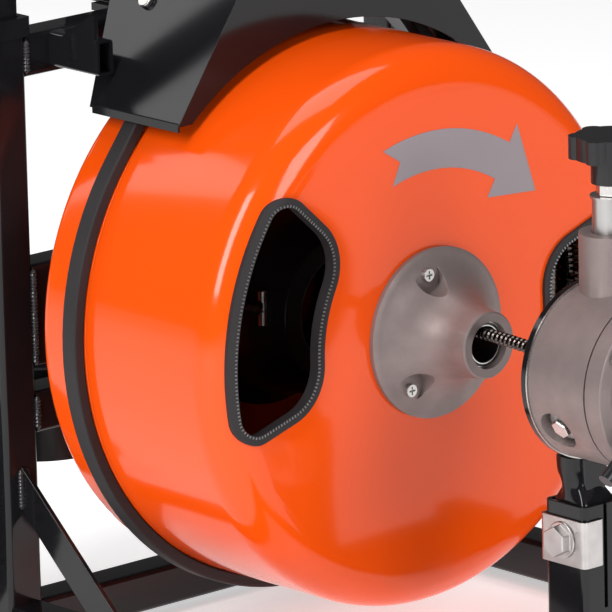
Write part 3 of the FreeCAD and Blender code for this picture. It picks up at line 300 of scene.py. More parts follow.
def grid_faces(rows, columns, round_rows=False, round_columns=False):
    """Corner numbers of the squares of a grid, which may close on itself either way."""
    row, column = np.meshgrid(
        np.arange(rows - (0 if round_rows else 1)),
        np.arange(columns - (0 if round_columns else 1)), indexing="ij")
    next_row, next_column = (row + 1) % rows, (column + 1) % columns
    return np.stack([row * columns + column, next_row * columns + column,
                     next_row * columns + next_column, row * columns + next_column],
                    axis=-1).reshape(-1, 4)


def add(name, points, faces, material, body, round_edges=0.0, angle=35.0):
    """Makes a piece from corners and faces; doubles are joined and faces turned outwards.

    A piece that is given no body is left without one.
    """
    mesh = bpy.data.meshes.new(name)
    mesh.from_pydata(np.asarray(points, float).reshape(-1, 3).tolist(), [],
                     [list(map(int, face)) for face in faces])
    work = bmesh.new()
    work.from_mesh(mesh)
    bmesh.ops.remove_doubles(work, verts=work.verts, dist=1e-7)
    bmesh.ops.recalc_face_normals(work, faces=work.faces)
    work.to_mesh(mesh)
    work.free()
    mesh.materials.append(finish(material))
    piece = bpy.data.objects.new(name, mesh)
    bpy.context.scene.collection.objects.link(piece)
    soften(piece, round_edges, angle=angle)
    if body:
        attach(piece, body)
    return piece


def many(points, faces, count):
    """Face numbers for a stack of equal shapes."""
    per_shape = points.shape[1]
    return (np.asarray(faces)[None] + per_shape * np.arange(count)[:, None, None]).reshape(
        -1, np.asarray(faces).shape[1])


def unit(vectors):
    """Vectors of length one."""
    return vectors / np.linalg.norm(vectors, axis=-1, keepdims=True)


def sweep(path, radius, sides, reference):
    """Tube along a path, run in to the path at both ends, which closes it.

    Point(i, j) = path(i) + radius(i) * (cos a * side(i) + sin a * up(i)), where side is at
    right angles to the path and the reference, and a runs once round for j.
    """
    path = np.asarray(path, float)
    tangent = unit(np.gradient(path, axis=0))
    side = unit(np.cross(tangent, np.broadcast_to(reference, tangent.shape)))
    up = np.cross(side, tangent)
    angle = np.linspace(0, 2 * math.pi, sides, endpoint=False)
    radius = np.broadcast_to(np.asarray(radius, float).reshape(-1, 1), (len(path), 1))
    path, side, up = (np.concatenate([row[:1], row, row[-1:]]) for row in (path, side, up))
    radius = np.concatenate([radius[:1] * 0, radius, radius[-1:] * 0])
    around = (np.cos(angle)[None, :, None] * side[:, None]
              + np.sin(angle)[None, :, None] * up[:, None])
    return path[:, None] + radius[..., None] * around, grid_faces(
        len(path), sides, round_columns=True)


AXES = {"X": (1, 2, 0), "Y": (2, 0, 1), "Z": (0, 1, 2)}


def revolve(profile, centre, axis, segments=96, ripple=None):
    """Surface turned about an axis from (radius, along) corners, closed round the profile.

    Point(i, j) = centre + radius(i) * (cos a, sin a) across the axis + along(i) on it, where a
    runs once round for j. A ripple(along, a) may be taken off the radius.
    """
    profile = np.asarray(profile, float)
    angle = np.linspace(0, 2 * math.pi, segments, endpoint=False)
    radius = np.broadcast_to(profile[:, :1], (len(profile), segments)).copy()
    if ripple is not None:
        radius -= ripple(profile[:, 1:2], angle[None])
    across, over, along = AXES[axis]
    points = np.zeros((len(profile), segments, 3))
    points[..., across] = radius * np.cos(angle)[None]
    points[..., over] = radius * np.sin(angle)[None]
    points[..., along] = profile[:, 1:2]
    return points + np.asarray(centre, float), grid_faces(
        len(profile), segments, round_rows=True, round_columns=True)


def prism(outline, low, high, axis, centre):
    """Solid with the same outline at both ends, between low and high on its axis."""
    outline = np.asarray(outline, float)
    across, over, along = AXES[axis]
    count = len(outline)
    points = np.zeros((2, count, 3))
    points[..., across] = outline[:, 0]
    points[..., over] = outline[:, 1]
    points[0, :, along] = low
    points[1, :, along] = high
    sides = grid_faces(2, count, round_columns=True).tolist()
    return points + np.asarray(centre, float), sides + [
        list(range(count))[::-1], list(range(count, 2 * count))]


def ring_outline(radius, count, turn=0.0):
    """Corners of a regular polygon."""
    angle = np.linspace(0, 2 * math.pi, count, endpoint=False) + turn
    return radius * np.stack([np.cos(angle), np.sin(angle)], axis=1)


BLOCK_FACES = [
    [0, 1, 3, 2], [4, 6, 7, 5], [0, 4, 5, 1], [2, 3, 7, 6], [0, 2, 6, 4], [1, 5, 7, 3]]


def blocks(lows, highs):
    """Rows of eight corners for blocks between low and high corners."""
    lows, highs = np.atleast_2d(lows), np.atleast_2d(highs)
    pick = np.array([[i, j, k] for i in (0, 1) for j in (0, 1) for k in (0, 1)])
    return np.where(pick[None] == 1, highs[:, None], lows[:, None])


def ray_blocks(degrees, centre, reach, half_width, depth):
    """Rows of eight corners for blocks that stand on rays round an axis along Y.

    A block runs between two reaches on its ray, a half width to either side of it and between
    two depths on the axis, all in millimetres; the centre is in metres.
    """
    angle = np.radians(degrees)
    still = np.zeros_like(angle)
    away = np.stack([np.cos(angle), still, np.sin(angle)], axis=1)
    along = np.stack([-np.sin(angle), still, np.cos(angle)], axis=1)
    return np.stack([
        centre + (away * far + along * wide + np.array([0, deep, 0])) * MM
        for far in reach for wide in (-half_width, half_width) for deep in depth], axis=1)


def line(start, end, count):
    """Points on a straight line."""
    part = np.linspace(0, 1, count)[:, None]
    return np.asarray(start, float) * (1 - part) + np.asarray(end, float) * part


# ---------------------------------------------------------------- frame
FRAME_NODES = (
    "left_upright", "right_upright", "base_rails", "base_cross_tubes", "lower_cross_tube",
    "bearing_beam", "top_cross_tube", "frame_braces", "motor_arms", "rubber_feet",
    "left_wheel_bracket", "right_wheel_bracket", "bearing_housing", "drum_bearing")


# Beads, in millimetres: point spacing, length of a pass, length that fades at an end, how far
# the middle stands inside the corner that it fills, and the gap to a tube's corner.
WELD_STEP, WELD_PASS, WELD_FADE, WELD_SINK, WELD_GAP = 0.5, 2.6, 2.5, 0.3, 3
WELD_SWELL = 0.18
FLOOR_TUBE = 30
CAP_INSET, CAP_FRONT, CAP_BACK = 0.4, 2.5, 0.5


def bead(name, start, end):
    """Weld bead on a line: a thin tube whose radius swells and narrows with each pass."""
    start, end = np.asarray(start, float) * MM, np.asarray(end, float) * MM
    length = np.linalg.norm(end - start)
    count = max(12, int(length / (WELD_STEP * MM)))
    along = np.linspace(0, length, count)
    swell = 1 + WELD_SWELL * np.cos(2 * math.pi * along / (WELD_PASS * MM))
    fade = np.minimum(1.0, np.minimum(along, length - along) / (WELD_FADE * MM) + 0.3)
    level = abs((end - start)[2]) < 0.5 * length
    points, faces = sweep(line(start, end, count), settings().weld_radius * swell * fade, 10,
                          (0.31, 0.22, 0.93) if level else (0.93, 0.22, 0.31))
    return add(name, points, faces, "weld", "frame")


class MESH_OT_drain_frame(bpy.types.Operator):
    """Paint the welded frame, and add its weld beads and tube caps"""

    bl_idname = "mesh.drain_frame"
    bl_label = "Frame"

    def execute(self, context):
        for node in FRAME_NODES:
            dressed(node)
        inner = box_mm("base_cross_tubes")[1][0]
        for side, sign in (("left", -1), ("right", 1)):
            self.brace_welds(side, sign)
            self.tube_welds(side, sign * (inner - WELD_SINK))
        self.rail_caps(inner)
        return {"FINISHED"}

    def brace_welds(self, side, sign):
        """Beads on both faces of a brace, where it meets the upright and the floor rail."""
        low, high = box_mm("frame_braces")
        front = box_mm("left_upright")[0][1] + 2.4
        top = box_mm("base_rails")[1][2] + 0.4
        for edge, offset in (("inner", -2.6), ("outer", 2.6)):
            x = sign * (high[0] - 2 + offset)
            bead("%s_brace_upright_weld_%s" % (side, edge),
                 (x, front, high[2] - 31), (x, front, high[2] - 2))
            bead("%s_brace_rail_weld_%s" % (side, edge),
                 (x, low[1] + 4, top), (x, low[1] + 34, top))

    def tube_welds(self, side, x):
        """Beads where the cross tubes end on a floor rail or an upright."""
        low, high = box_mm("base_cross_tubes")
        top = high[2] - WELD_SINK
        for end, front, rear in (("front", low[1], low[1] + FLOOR_TUBE),
                                 ("rear", high[1] - FLOOR_TUBE, high[1])):
            bead("%s_%s_floor_weld" % (side, end),
                 (x, front + WELD_GAP, top), (x, rear - WELD_GAP, top))
        for node in ("lower_cross_tube", "bearing_beam", "top_cross_tube"):
            low, high = box_mm(node)
            front, top = low[1] + WELD_SINK, high[2] - WELD_SINK
            bead("%s_%s_weld" % (side, node),
                 (x, front, low[2] + WELD_GAP), (x, front, high[2] - WELD_GAP))
            bead("%s_%s_top_weld" % (side, node),
                 (x, low[1] + WELD_GAP + 1, top), (x, high[1] - WELD_GAP - 1, top))

    def rail_caps(self, inner):
        """Plastic caps in the front ends of the floor rails."""
        low, high = box_mm("base_rails")
        lows, highs = [], []
        for sign in (-1, 1):
            x_low, x_high = sorted((sign * inner, sign * high[0]))
            lows.append((x_low + CAP_INSET, low[1] - CAP_FRONT, low[2] + CAP_INSET))
            highs.append((x_high - CAP_INSET, low[1] + CAP_BACK, high[2] - CAP_INSET))
        corners = blocks(np.array(lows) * MM, np.array(highs) * MM)
        add("rail_caps", corners, many(corners, BLOCK_FACES, 2), "black_plastic", "frame",
            round_edges=1.2 * MM)


# ---------------------------------------------------------------- drum
# Left hand opening as in the CAD: its two radii and its corners' radii in millimetres, and its
# start and span in degrees.
OPENING = {
    "inner": 104.5, "outer": 189.2, "start": 136.8, "span": 59.9, "near": 38.6, "far": 21.2}
RIGHT_OPENING_TURN = 183.0
SHOULDER = 28.0
ARC_POINTS = 30
# Clips of the edging, in millimetres: how far inside the opening and behind the drum's face they
# are, and where they begin and end on each way.
CLIP_COUNT, CLIP_INSET, CLIP_DEPTH = 150, 5.4, 2.75
CLIP_ACROSS, CLIP_ALONG, CLIP_LIFT = (-0.9, 0.9), (-0.45, 0.45), (-0.5, 0.35)


def opening_outline(inset, count):
    """Even points round the left hand opening, in millimetres, moved in by an inset.

    The opening is a sector of a ring. Each corner is an arc about a hub that stands its radius
    away from the ring's edge and from the sector's side.
    """
    start, end = math.radians(OPENING["start"]), math.radians(OPENING["start"] + OPENING["span"])
    arcs = []
    for radius, away, corner in ((OPENING["inner"] + inset, 1, OPENING["near"]),
                                 (OPENING["outer"] - inset, -1, OPENING["far"])):
        bend = corner - inset
        reach = radius + away * bend
        lean = math.asin(corner / reach)
        for hub_angle, side in ((start + lean, start - math.pi / 2),
                                (end - lean, end + math.pi / 2)):
            facing = hub_angle + (math.pi if away > 0 else 0)
            turn = (facing - side + math.pi) % (2 * math.pi) - math.pi
            angle = side + turn * np.linspace(0, 1, ARC_POINTS)
            hub = reach * np.array([math.cos(hub_angle), math.sin(hub_angle)])
            arcs.append(hub + bend * np.stack([np.cos(angle), np.sin(angle)], axis=1))
        middle = np.linspace(start + lean, end - lean, ARC_POINTS)[1:-1]
        arcs.append(radius * np.stack([np.cos(middle), np.sin(middle)], axis=1))
    near_first, near_last, near_edge, far_first, far_last, far_edge = arcs
    loop = np.concatenate([near_first, near_edge, near_last[::-1], far_last, far_edge[::-1],
                           far_first[::-1], near_first[:1]])
    length = np.concatenate([[0], np.cumsum(np.linalg.norm(np.diff(loop, axis=0), axis=1))])
    even = np.linspace(0, length[-1], count, endpoint=False)
    return np.stack([np.interp(even, length, loop[:, k]) for k in (0, 1)], axis=1)


def face_depth(radius):
    """Y of the drum's front wall at a distance from its axis, in millimetres."""
    over = np.clip(radius - (DRUM_RADIUS / MM - SHOULDER), 0, SHOULDER)
    return FACE_Y / MM + SHOULDER - np.sqrt(SHOULDER ** 2 - over ** 2)


def trim_ticks(name, turn):
    """Row of small clips that show along the inside of an opening's edging."""
    spots = opening_outline(CLIP_INSET, CLIP_COUNT)
    ways = unit(np.roll(spots, -1, axis=0) - np.roll(spots, 1, axis=0))
    angle = math.radians(turn)
    spin = np.array([[math.cos(angle), -math.sin(angle)], [math.sin(angle), math.cos(angle)]])
    depth = face_depth(np.linalg.norm(spots, axis=1)) - CLIP_DEPTH
    spots, ways = spots @ spin.T, ways @ spin.T
    normals = np.stack([ways[:, 1], -ways[:, 0]], axis=1)
    corners = []
    for across in CLIP_ACROSS:
        for along in CLIP_ALONG:
            for lift in CLIP_LIFT:
                flat = spots + across * normals + along * ways
                corners.append(np.stack([flat[:, 0], depth - lift, flat[:, 1]], axis=1))
    points = np.stack(corners, axis=1) * MM + np.array([0, 0, AXIS_HEIGHT])
    return add(name, points, many(points, BLOCK_FACES, CLIP_COUNT), "metal_tick", "drum")


class MESH_OT_drain_drum(bpy.types.Operator):
    """Finish the drum: its shells, edged openings, arrow and inner drum, black with painted shade
    """

    bl_idname = "mesh.drain_drum"
    bl_label = "Drum"

    def execute(self, context):
        dressed("drum_front_shell", 0.0006, angle=32)
        dressed("drum_rear_shell", 0.0006, angle=32)
        dressed("left_opening_trim", 0.0, angle=50)
        dressed("right_opening_trim", 0.0, angle=50)
        dressed("rotation_arrow", 0.0)
        # Near-black finish in place of its own: the inner drum's black plastic, deepened with
        # painted shade of the drum's inside.
        dressed("inner_drum", 0.001, "inner_black")
        dressed("rear_hub", 0.0008)
        dressed("drum_shaft", 0.001)
        trim_ticks("left_trim_clips", 0.0)
        trim_ticks("right_trim_clips", RIGHT_OPENING_TURN)
        return {"FINISHED"}


class MESH_OT_drain_hub(bpy.types.Operator):
    """Finish the cast hub, its screws and the bush in its nose"""

    bl_idname = "mesh.drain_hub"
    bl_label = "Hub"

    def execute(self, context):
        dressed("drum_hub", 0.0012)
        dressed("hub_screws", 0.0003)
        # Near-black finish in place of its own: painted shade down in the hub's nose.
        dressed("nose_bush", 0.0004, "inner_black")
        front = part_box("nose_bush")[0][1]
        for name, radius in (("outer", 16.0), ("inner", 13.5)):
            lip = np.array([(radius - 0.45, -0.5), (radius + 0.35, -0.5), (radius + 0.35, 0.6),
                            (radius - 0.1, 0.6)]) * MM
            points, faces = revolve(lip, (0, front, AXIS_HEIGHT), "Y")
            add("bush_%s_lip" % name, points, faces, "bright_steel", "drum")
        return {"FINISHED"}


# ---------------------------------------------------------------- cable
def spring(name, path, body, per_turn=14, sides=8):
    """Coil of wire wound round a path, and a dark tube inside it that closes it: painted shade of
    the coil's hollow.

    The wire's middle is path(s) + reach * (cos a * side + sin a * up), where a runs once round
    for each pitch of s.
    """
    path = np.asarray(path, float)
    wire, pitch = settings().wire_diameter / 2, settings().wire_pitch
    steps = np.concatenate([[0], np.cumsum(np.linalg.norm(np.diff(path, axis=0), axis=1))])
    count = int(steps[-1] / pitch * per_turn)
    along = np.linspace(0, steps[-1], count)
    centre = np.stack([np.interp(along, steps, path[:, k]) for k in range(3)], axis=1)
    tangent = unit(np.gradient(centre, axis=0))
    side = unit(np.cross(tangent, np.broadcast_to((0.0, 0.0, 1.0), tangent.shape)))
    up = np.cross(side, tangent)
    turn = 2 * math.pi * along / pitch
    reach = CABLE_RADIUS - wire
    helix = centre + reach * (np.cos(turn)[:, None] * side + np.sin(turn)[:, None] * up)
    points, faces = sweep(helix, wire, sides, centre_way(path))
    coil = add(name, points, faces, "spring_steel", body)
    # Dark tube inside the coil, in the near-black finish: painted shade of the coil's hollow
    # inside.
    points, faces = sweep(centre[::per_turn], CABLE_RADIUS - 1.6 * wire, 10, (0.0, 0.0, 1.0))
    shade_core = add(name + "_core", points, faces, "inner_black", body)
    return coil, shade_core


def centre_way(path):
    """Fixed direction used to steady the wire's section: the path's own run, or its axis."""
    run = path[-1] - path[0]
    return unit(run[None])[0] if np.linalg.norm(run) > 0.02 else np.array([0.0, 1.0, 0.0])


def smooth_path(corners, count):
    """Curve through corners: each coordinate is a cubic in the distance along the corners."""
    corners = np.asarray(corners, float)
    steps = np.concatenate([[0], np.cumsum(np.linalg.norm(np.diff(corners, axis=0), axis=1))])
    slope = np.gradient(corners, steps, axis=0)
    along = np.linspace(0, steps[-1], count)
    cell = np.clip(np.searchsorted(steps, along, side="right") - 1, 0, len(corners) - 2)
    width = (steps[cell + 1] - steps[cell])[:, None]
    t = (along - steps[cell])[:, None] / width
    return ((2 * t ** 3 - 3 * t ** 2 + 1) * corners[cell]
            + (t ** 3 - 2 * t ** 2 + t) * width * slope[cell]
            + (3 * t ** 2 - 2 * t ** 3) * corners[cell + 1]
            + (t ** 3 - t ** 2) * width * slope[cell + 1])


# Cable in the drum, in millimetres from the drum's axis. The turns are radius and depth; the
# lead runs out to them, and the anchor's cable and bar hold the inner end.
WIRE_TURNS = (("front", 178.0, 22.0), ("second", 188.5, 26.0), ("third", 189.5, 37.0))
LEAD = ((0, -20, 9), (22, 16, 30), (90, 50, 70), (128, 62, 100))
ANCHOR_CABLE = ((-106, 70, 24), (-63, 82, 9.5))
ANCHOR_BAR, ANCHOR_BAR_RADIUS = ((-62.5, 80, -3), (-60.5, 82, 21)), 3.2
# Packed turns behind them: distance between two rows, radius of a turn, where a row's middles
# are, how far every second row steps out, and where the front row and the pack's face are.
PACK_PITCH, PACK_TURN, PACK_RADIUS, PACK_STEP = 9.6, 4.9, 167, 1.5
PACK_FRONT_RADIUS, PACK_FRONT, PACK_FACE = 177.0, 38.5, 46.0
THREAD_DEPTH, THREAD_TURNS, THREAD_LEAN = 0.8, 270, 0.6


class MESH_OT_drain_cable(bpy.types.Operator):
    """Make the spring cable: its span, the length through the feeder and the winding"""

    bl_idname = "mesh.drain_cable"
    bl_label = "Cable"

    def execute(self, context):
        low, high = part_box("cable_span")
        route = [(0, high[1], high[2] - CABLE_RADIUS),
                 (0, -0.100, AXIS_HEIGHT + 0.0072),
                 (0, -0.142, AXIS_HEIGHT + 0.0050),
                 (0, low[1], FEED_HEIGHT)]
        coil, shade_core = spring("cable_span_coil", smooth_path(route, 90), None)
        for piece in (coil, shade_core):
            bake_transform(piece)
        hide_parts("cable_span")
        low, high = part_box("feed_cable")
        straight = line((0, high[1], FEED_HEIGHT), (0, low[1], FEED_HEIGHT), 40)
        coil, _ = spring("feed_cable_coil", straight, "feed_cable")
        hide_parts("feed_cable")
        dressed("cable_coupling", 0.0005)
        self.winding()
        return {"FINISHED"}

    def winding(self):
        """Cable inside the drum: three turns of real wire, the lead, the anchor and the pack."""
        axis = np.array([0, 0, AXIS_HEIGHT])
        low, high = box_mm("cable_winding")
        angle = np.linspace(0, 2 * math.pi, 400)
        for name, radius, y in WIRE_TURNS:
            circle = np.stack([radius * np.cos(angle), np.full_like(angle, y),
                               radius * np.sin(angle)], axis=1)
            coil, _ = spring("winding_%s_turn" % name, circle * MM + axis, "drum", 10, 6)
            if name == "front":
                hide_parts("cable_winding")
        corners = np.array([(0, low[1] + 0.1, 8.0), *LEAD])
        spring("winding_lead", smooth_path(corners * MM + axis, 200), "drum")
        spring("anchor_cable", line(*ANCHOR_CABLE, 30) * MM + axis, "drum")
        points, faces = sweep(line(*ANCHOR_BAR, 8) * MM + axis, ANCHOR_BAR_RADIUS * MM, 16,
                              (0, 1, 0))
        add("anchor_bar", points, faces, "roller_steel", "drum")
        self.packed_turns(axis, high)

    def packed_turns(self, axis, high):
        """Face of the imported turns: half rounds in rows, with the wire's thread wound on them.

        The thread takes depth * (1 + cos(turns * a + lean * y)) / 2 off the radius.
        """
        rounds = [(math.cos(a), math.sin(a)) for a in np.radians(np.linspace(-90, 90, 5))]
        profile = [(high[0] - 1, high[1])]
        for number, y in enumerate(np.arange(high[1] - 6, 30, -PACK_PITCH)):
            middle = PACK_RADIUS + PACK_STEP * (number % 2)
            profile += [(middle - PACK_TURN * c, y - PACK_TURN * d) for c, d in rounds]
        profile += [(PACK_FRONT_RADIUS + PACK_TURN * d, PACK_FRONT - PACK_TURN * c)
                    for c, d in rounds]
        profile.append((high[0] - 1, PACK_FACE))

        def thread(along, angle):
            wave = np.cos(angle * THREAD_TURNS + along / MM * THREAD_LEAN)
            return THREAD_DEPTH * MM * (0.5 + 0.5 * wave)

        points, faces = revolve(np.array(profile) * MM, axis, "Y", 1080, thread)
        add("winding_pack", points, faces, "spring_steel", "drum")


# ---------------------------------------------------------------- feeder and post
# Profiles are (radius, along) corners in millimetres.
GASKET = ((62.2, -0.9), (63.1, -0.9), (63.1, 0.2), (62.2, 0.2))
GASKET_Y = -0.189
COVER_SCREW = ((0, 0), (4.6, 0), (4.6, -4.2), (4.1, -4.8), (2.4, -4.8), (2.4, -2.2), (0, -2.2))
COVER_SCREW_ANGLES, COVER_SCREW_CIRCLE, COVER_THICKNESS = (30, 150, 270), 0.055, 0.0166
LOCK_NUT_RADIUS, LOCK_NUT_LOW, LOCK_NUT_HIGH = 11.25, 0.3, 8.8
PLUNGER_NUT = ((54.8, 7.2), (55.5, 7.6), (59.5, 7.6), (60.3, 7.0))  # from the cable, and radius
PLUNGER_Y = -0.210


class MESH_OT_drain_feeder(bpy.types.Operator):
    """Finish the feeder, its plungers, knob and lever, and the post that holds it"""

    bl_idname = "mesh.drain_feeder"
    bl_label = "Feeder and post"

    def execute(self, context):
        for node, width in (
                ("feeder_housing", 0.0012), ("feeder_cover", 0.0012),
                ("feeder_back_plate", 0.0006), ("feed_lever", 0.001), ("top_roller", 0.0006),
                ("left_roller", 0.0006), ("right_roller", 0.0006), ("feeder_knob", 0.0015),
                ("post_outer_tube", 0.0006), ("clamp_collar", 0.0008),
                ("post_clamp_bolt", 0.0008)):
            dressed(node, width)
        dressed("roller_plungers", 0.0006, "roller_steel")
        centre = np.array([0.0, 0.0, FEED_HEIGHT])
        points, faces = revolve(np.array(GASKET) * MM, centre + (0, GASKET_Y, 0), "Y")
        add("feeder_gasket", points, faces, "bright_steel", "feeder")
        self.cover_screws(centre)
        self.crimped_post()
        self.nuts(centre)
        return {"FINISHED"}

    def cover_screws(self, centre):
        """Socket head screws in the cover."""
        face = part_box("feeder_housing")[0][1] - COVER_THICKNESS + 0.0004
        for number, degrees in enumerate(COVER_SCREW_ANGLES):
            turn = math.radians(degrees)
            spot = centre + np.array([COVER_SCREW_CIRCLE * math.cos(turn), face,
                                      COVER_SCREW_CIRCLE * math.sin(turn)])
            points, faces = revolve(np.array(COVER_SCREW) * MM, spot, "Y", 40)
            add("cover_screw_%d" % number, points, faces, "bright_steel", "feeder")

    def nuts(self, centre):
        """Lock nut under the knob, and the nuts of the two lower plungers."""
        knob_low, knob_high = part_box("feeder_knob")
        knob_axis = np.array([0.0, (knob_low[1] + knob_high[1]) / 2, 0.0])
        sleeve_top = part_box("roller_plungers")[1][2]
        points, faces = prism(
            ring_outline(LOCK_NUT_RADIUS * MM, 6), sleeve_top + LOCK_NUT_LOW * MM,
            sleeve_top + LOCK_NUT_HIGH * MM, "Z", knob_axis)
        add("knob_lock_nut", points, faces, "bright_steel", "feeder_knob",
            round_edges=0.5 * MM, angle=40)
        out, radius = (np.array(PLUNGER_NUT) * MM).T
        for side, degrees in (("left", 210), ("right", 330)):
            away = np.array([math.cos(math.radians(degrees)), 0, math.sin(math.radians(degrees))])
            path = centre + (0, PLUNGER_Y, 0) + away * out[:, None]
            points, faces = sweep(path, radius, 6, (0, 1, 0))
            add(side + "_plunger_nut", points, faces, "bright_steel", "feeder",
                round_edges=0.4 * MM, angle=40)

    def crimped_post(self):
        """Inner post tube, squeezed flat where it meets the feeder.

        Each level is a rounded square, |x/a|^n + |y/b|^n = 1. Up the tube the power n falls and
        the depth b shrinks, and a dent of 4.5 mm * exp(-((z - z0) / 8 mm)^2) runs into its
        corners.
        """
        low, high = (np.array(corner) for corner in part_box("post_inner_tube"))
        centre, half = (low + high) / 2, (high[0] - low[0]) / 2
        levels = np.concatenate([[low[2]], np.linspace(high[2] - 0.045, high[2], 40)])
        rise = np.clip((levels - (high[2] - 0.036)) / 0.03, 0, 1)[:, None]
        squeeze = rise * rise * (3 - 2 * rise)
        sides = 96
        angle = np.linspace(0, 2 * math.pi, sides, endpoint=False)[None]
        cos, sin = np.cos(angle), np.sin(angle)
        power = 9 - 5.5 * squeeze
        square = (np.abs(cos) ** power + np.abs(sin) ** power) ** (-1 / power)
        corner = np.abs(np.sin(2 * angle)) ** 3
        dent = 0.0045 * np.exp(-((levels[:, None] - (high[2] - 0.021)) / 0.008) ** 2)
        reach = half * square - dent * corner * (1 + 0.4 * np.cos(angle * 2 + 0.9))
        points = np.zeros((len(levels), sides, 3))
        points[..., 0] = centre[0] + reach * cos
        points[..., 1] = centre[1] + reach * sin * (1 - 0.3 * squeeze) + 0.004 * squeeze
        points[..., 2] = levels[:, None]
        faces = grid_faces(len(levels), sides, round_columns=True).tolist()
        top = sides * (len(levels) - 1)
        faces += [list(range(sides)), list(range(top, top + sides))]
        post = add("crimped_post", points, faces, "frame_paint", "feeder")
        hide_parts("post_inner_tube")


# ---------------------------------------------------------------- belt drive, motor and guard
# Reach from the motor's axis, half width and depth of the motor's fins and of the dark blocks in
# its fan cover's slots, which are painted shade, in millimetres. The fins leave out the top, where
# the switch box is.
FIN_ANGLES = [degrees for degrees in range(-52, 232, 8) if not 58 < degrees < 122]
FIN_REACH, FIN_HALF_WIDTH, FIN_DEPTH = (42.4, 44.6), 0.9, (168, 294)
SLOT_ANGLES = range(0, 360, 20)
SLOT_REACH, SLOT_HALF_WIDTH, SLOT_DEPTH = (17, 33), 1.6, (-1.2, -0.3)
FAN_COVER_LENGTH = 0.0365


class MESH_OT_drain_drive(bpy.types.Operator):
    """Finish the belt, pulley, motor, switch and belt guard"""

    bl_idname = "mesh.drain_drive"
    bl_label = "Belt drive and motor"

    def execute(self, context):
        for node, width in (
                ("drive_belt", 0.0016), ("motor_pulley", 0.0008), ("motor_shaft", 0.0005),
                ("motor_body", 0.001), ("motor_fan_cover", 0.0012), ("motor_mount", 0.0008),
                ("switch_box", 0.002), ("mains_gland", 0.0008), ("switch_lever", 0.0006),
                ("belt_guard", 0.0009), ("guard_screws", 0.001)):
            dressed(node, width)
        low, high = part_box("motor_body")
        height = (low[2] + high[2]) / 2
        points = ray_blocks(FIN_ANGLES, (0.0, 0.0, height), FIN_REACH, FIN_HALF_WIDTH, FIN_DEPTH)
        add("motor_fins", points, many(points, BLOCK_FACES, len(FIN_ANGLES)), "motor_grey",
            "frame")
        # Near-black blocks where the fan cover's slots are: painted shade of the slots.
        points = ray_blocks(SLOT_ANGLES, (0.0, high[1] + FAN_COVER_LENGTH, height), SLOT_REACH,
                            SLOT_HALF_WIDTH, SLOT_DEPTH)
        add("fan_cover_slots", points, many(points, BLOCK_FACES, len(SLOT_ANGLES)),
            "inner_black", "frame")
        return {"FINISHED"}


# ---------------------------------------------------------------- wheels
TREAD_GROOVES, TREAD_STAGGER, TREAD_SHARE = 44, 1.2, 0.45
TREAD_MIDDLE, TREAD_SHOULDER = 0.3, 0.98  # parts of the half width where the grooves run
CROWN_DROP, CROWN_EDGE, CROWN_POWER = 0.008, 0.62, 2.2
BEAD_RADIUS, BEAD_WIDTH = 0.0765, 0.86
AXLE_CAP = ((0, 0), (13, 0), (13, 5), (9, 8), (0, 9))


def tread(along, angle):
    """Depth taken off a tyre: two rows of cross grooves, with a plain band between them."""
    middle = along - along.mean()
    reach = np.abs(middle) / np.abs(middle).max()
    wave = np.cos(angle * TREAD_GROOVES + np.sign(middle) * TREAD_STAGGER)
    cross = (wave > TREAD_SHARE) & (reach > TREAD_MIDDLE)
    return settings().tread_depth * cross * np.clip((TREAD_SHOULDER - reach) * 8, 0, 1)


class MESH_OT_drain_wheels(bpy.types.Operator):
    """Finish the wheels: treaded tyres and ribbed rims"""

    bl_idname = "mesh.drain_wheels"
    bl_label = "Wheels"

    def execute(self, context):
        for side, out in (("left", -1), ("right", 1)):
            dressed(side + "_rim", 0.0012)
            low, high = (np.array(corner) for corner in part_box(side + "_tyre"))
            centre = (low + high) / 2
            self.tyre(side, centre, (high[1] - low[1]) / 2, (high[0] - low[0]) / 2)
            end = high[0] if out > 0 else low[0]
            points, faces = revolve(np.array(AXLE_CAP) * MM * (1, out),
                                    (end + out * 0.0005, centre[1], centre[2]), "X", 48)
            add(side + "_axle_cap", points, faces, "bright_steel", side + "_wheel")
        return {"FINISHED"}

    def tyre(self, side, centre, radius, half):
        """Tyre with a crown that falls away at its shoulders, and its tread."""
        across = np.linspace(-1, 1, 33)
        fall = np.clip((np.abs(across) - CROWN_EDGE) / (1 - CROWN_EDGE), 0, 1) ** CROWN_POWER
        crown = np.stack([radius - CROWN_DROP * fall, across * half], axis=1)
        seat = [[BEAD_RADIUS, half * BEAD_WIDTH], [BEAD_RADIUS, -half * BEAD_WIDTH]]
        profile = np.concatenate([crown, seat])

        def grooves(along, angle):
            on_crown = np.arange(len(profile))[:, None] < len(crown)
            return np.where(on_crown, tread(along, angle), 0)

        points, faces = revolve(profile, centre, "X", 528, grooves)
        tyre = add(side + "_treaded_tyre", points, faces, "tyre_rubber", side + "_wheel")
        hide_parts(side + "_tyre")


# ---------------------------------------------------------------- handle and pot
RIB_DEPTH, RIB_PITCH, RIB_SHARE = 0.0008, 0.006, 0.2
GRIP_PLAIN_END, GRIP_END_DROP, GRIP_BORE = 0.008, 0.002, 0.0171


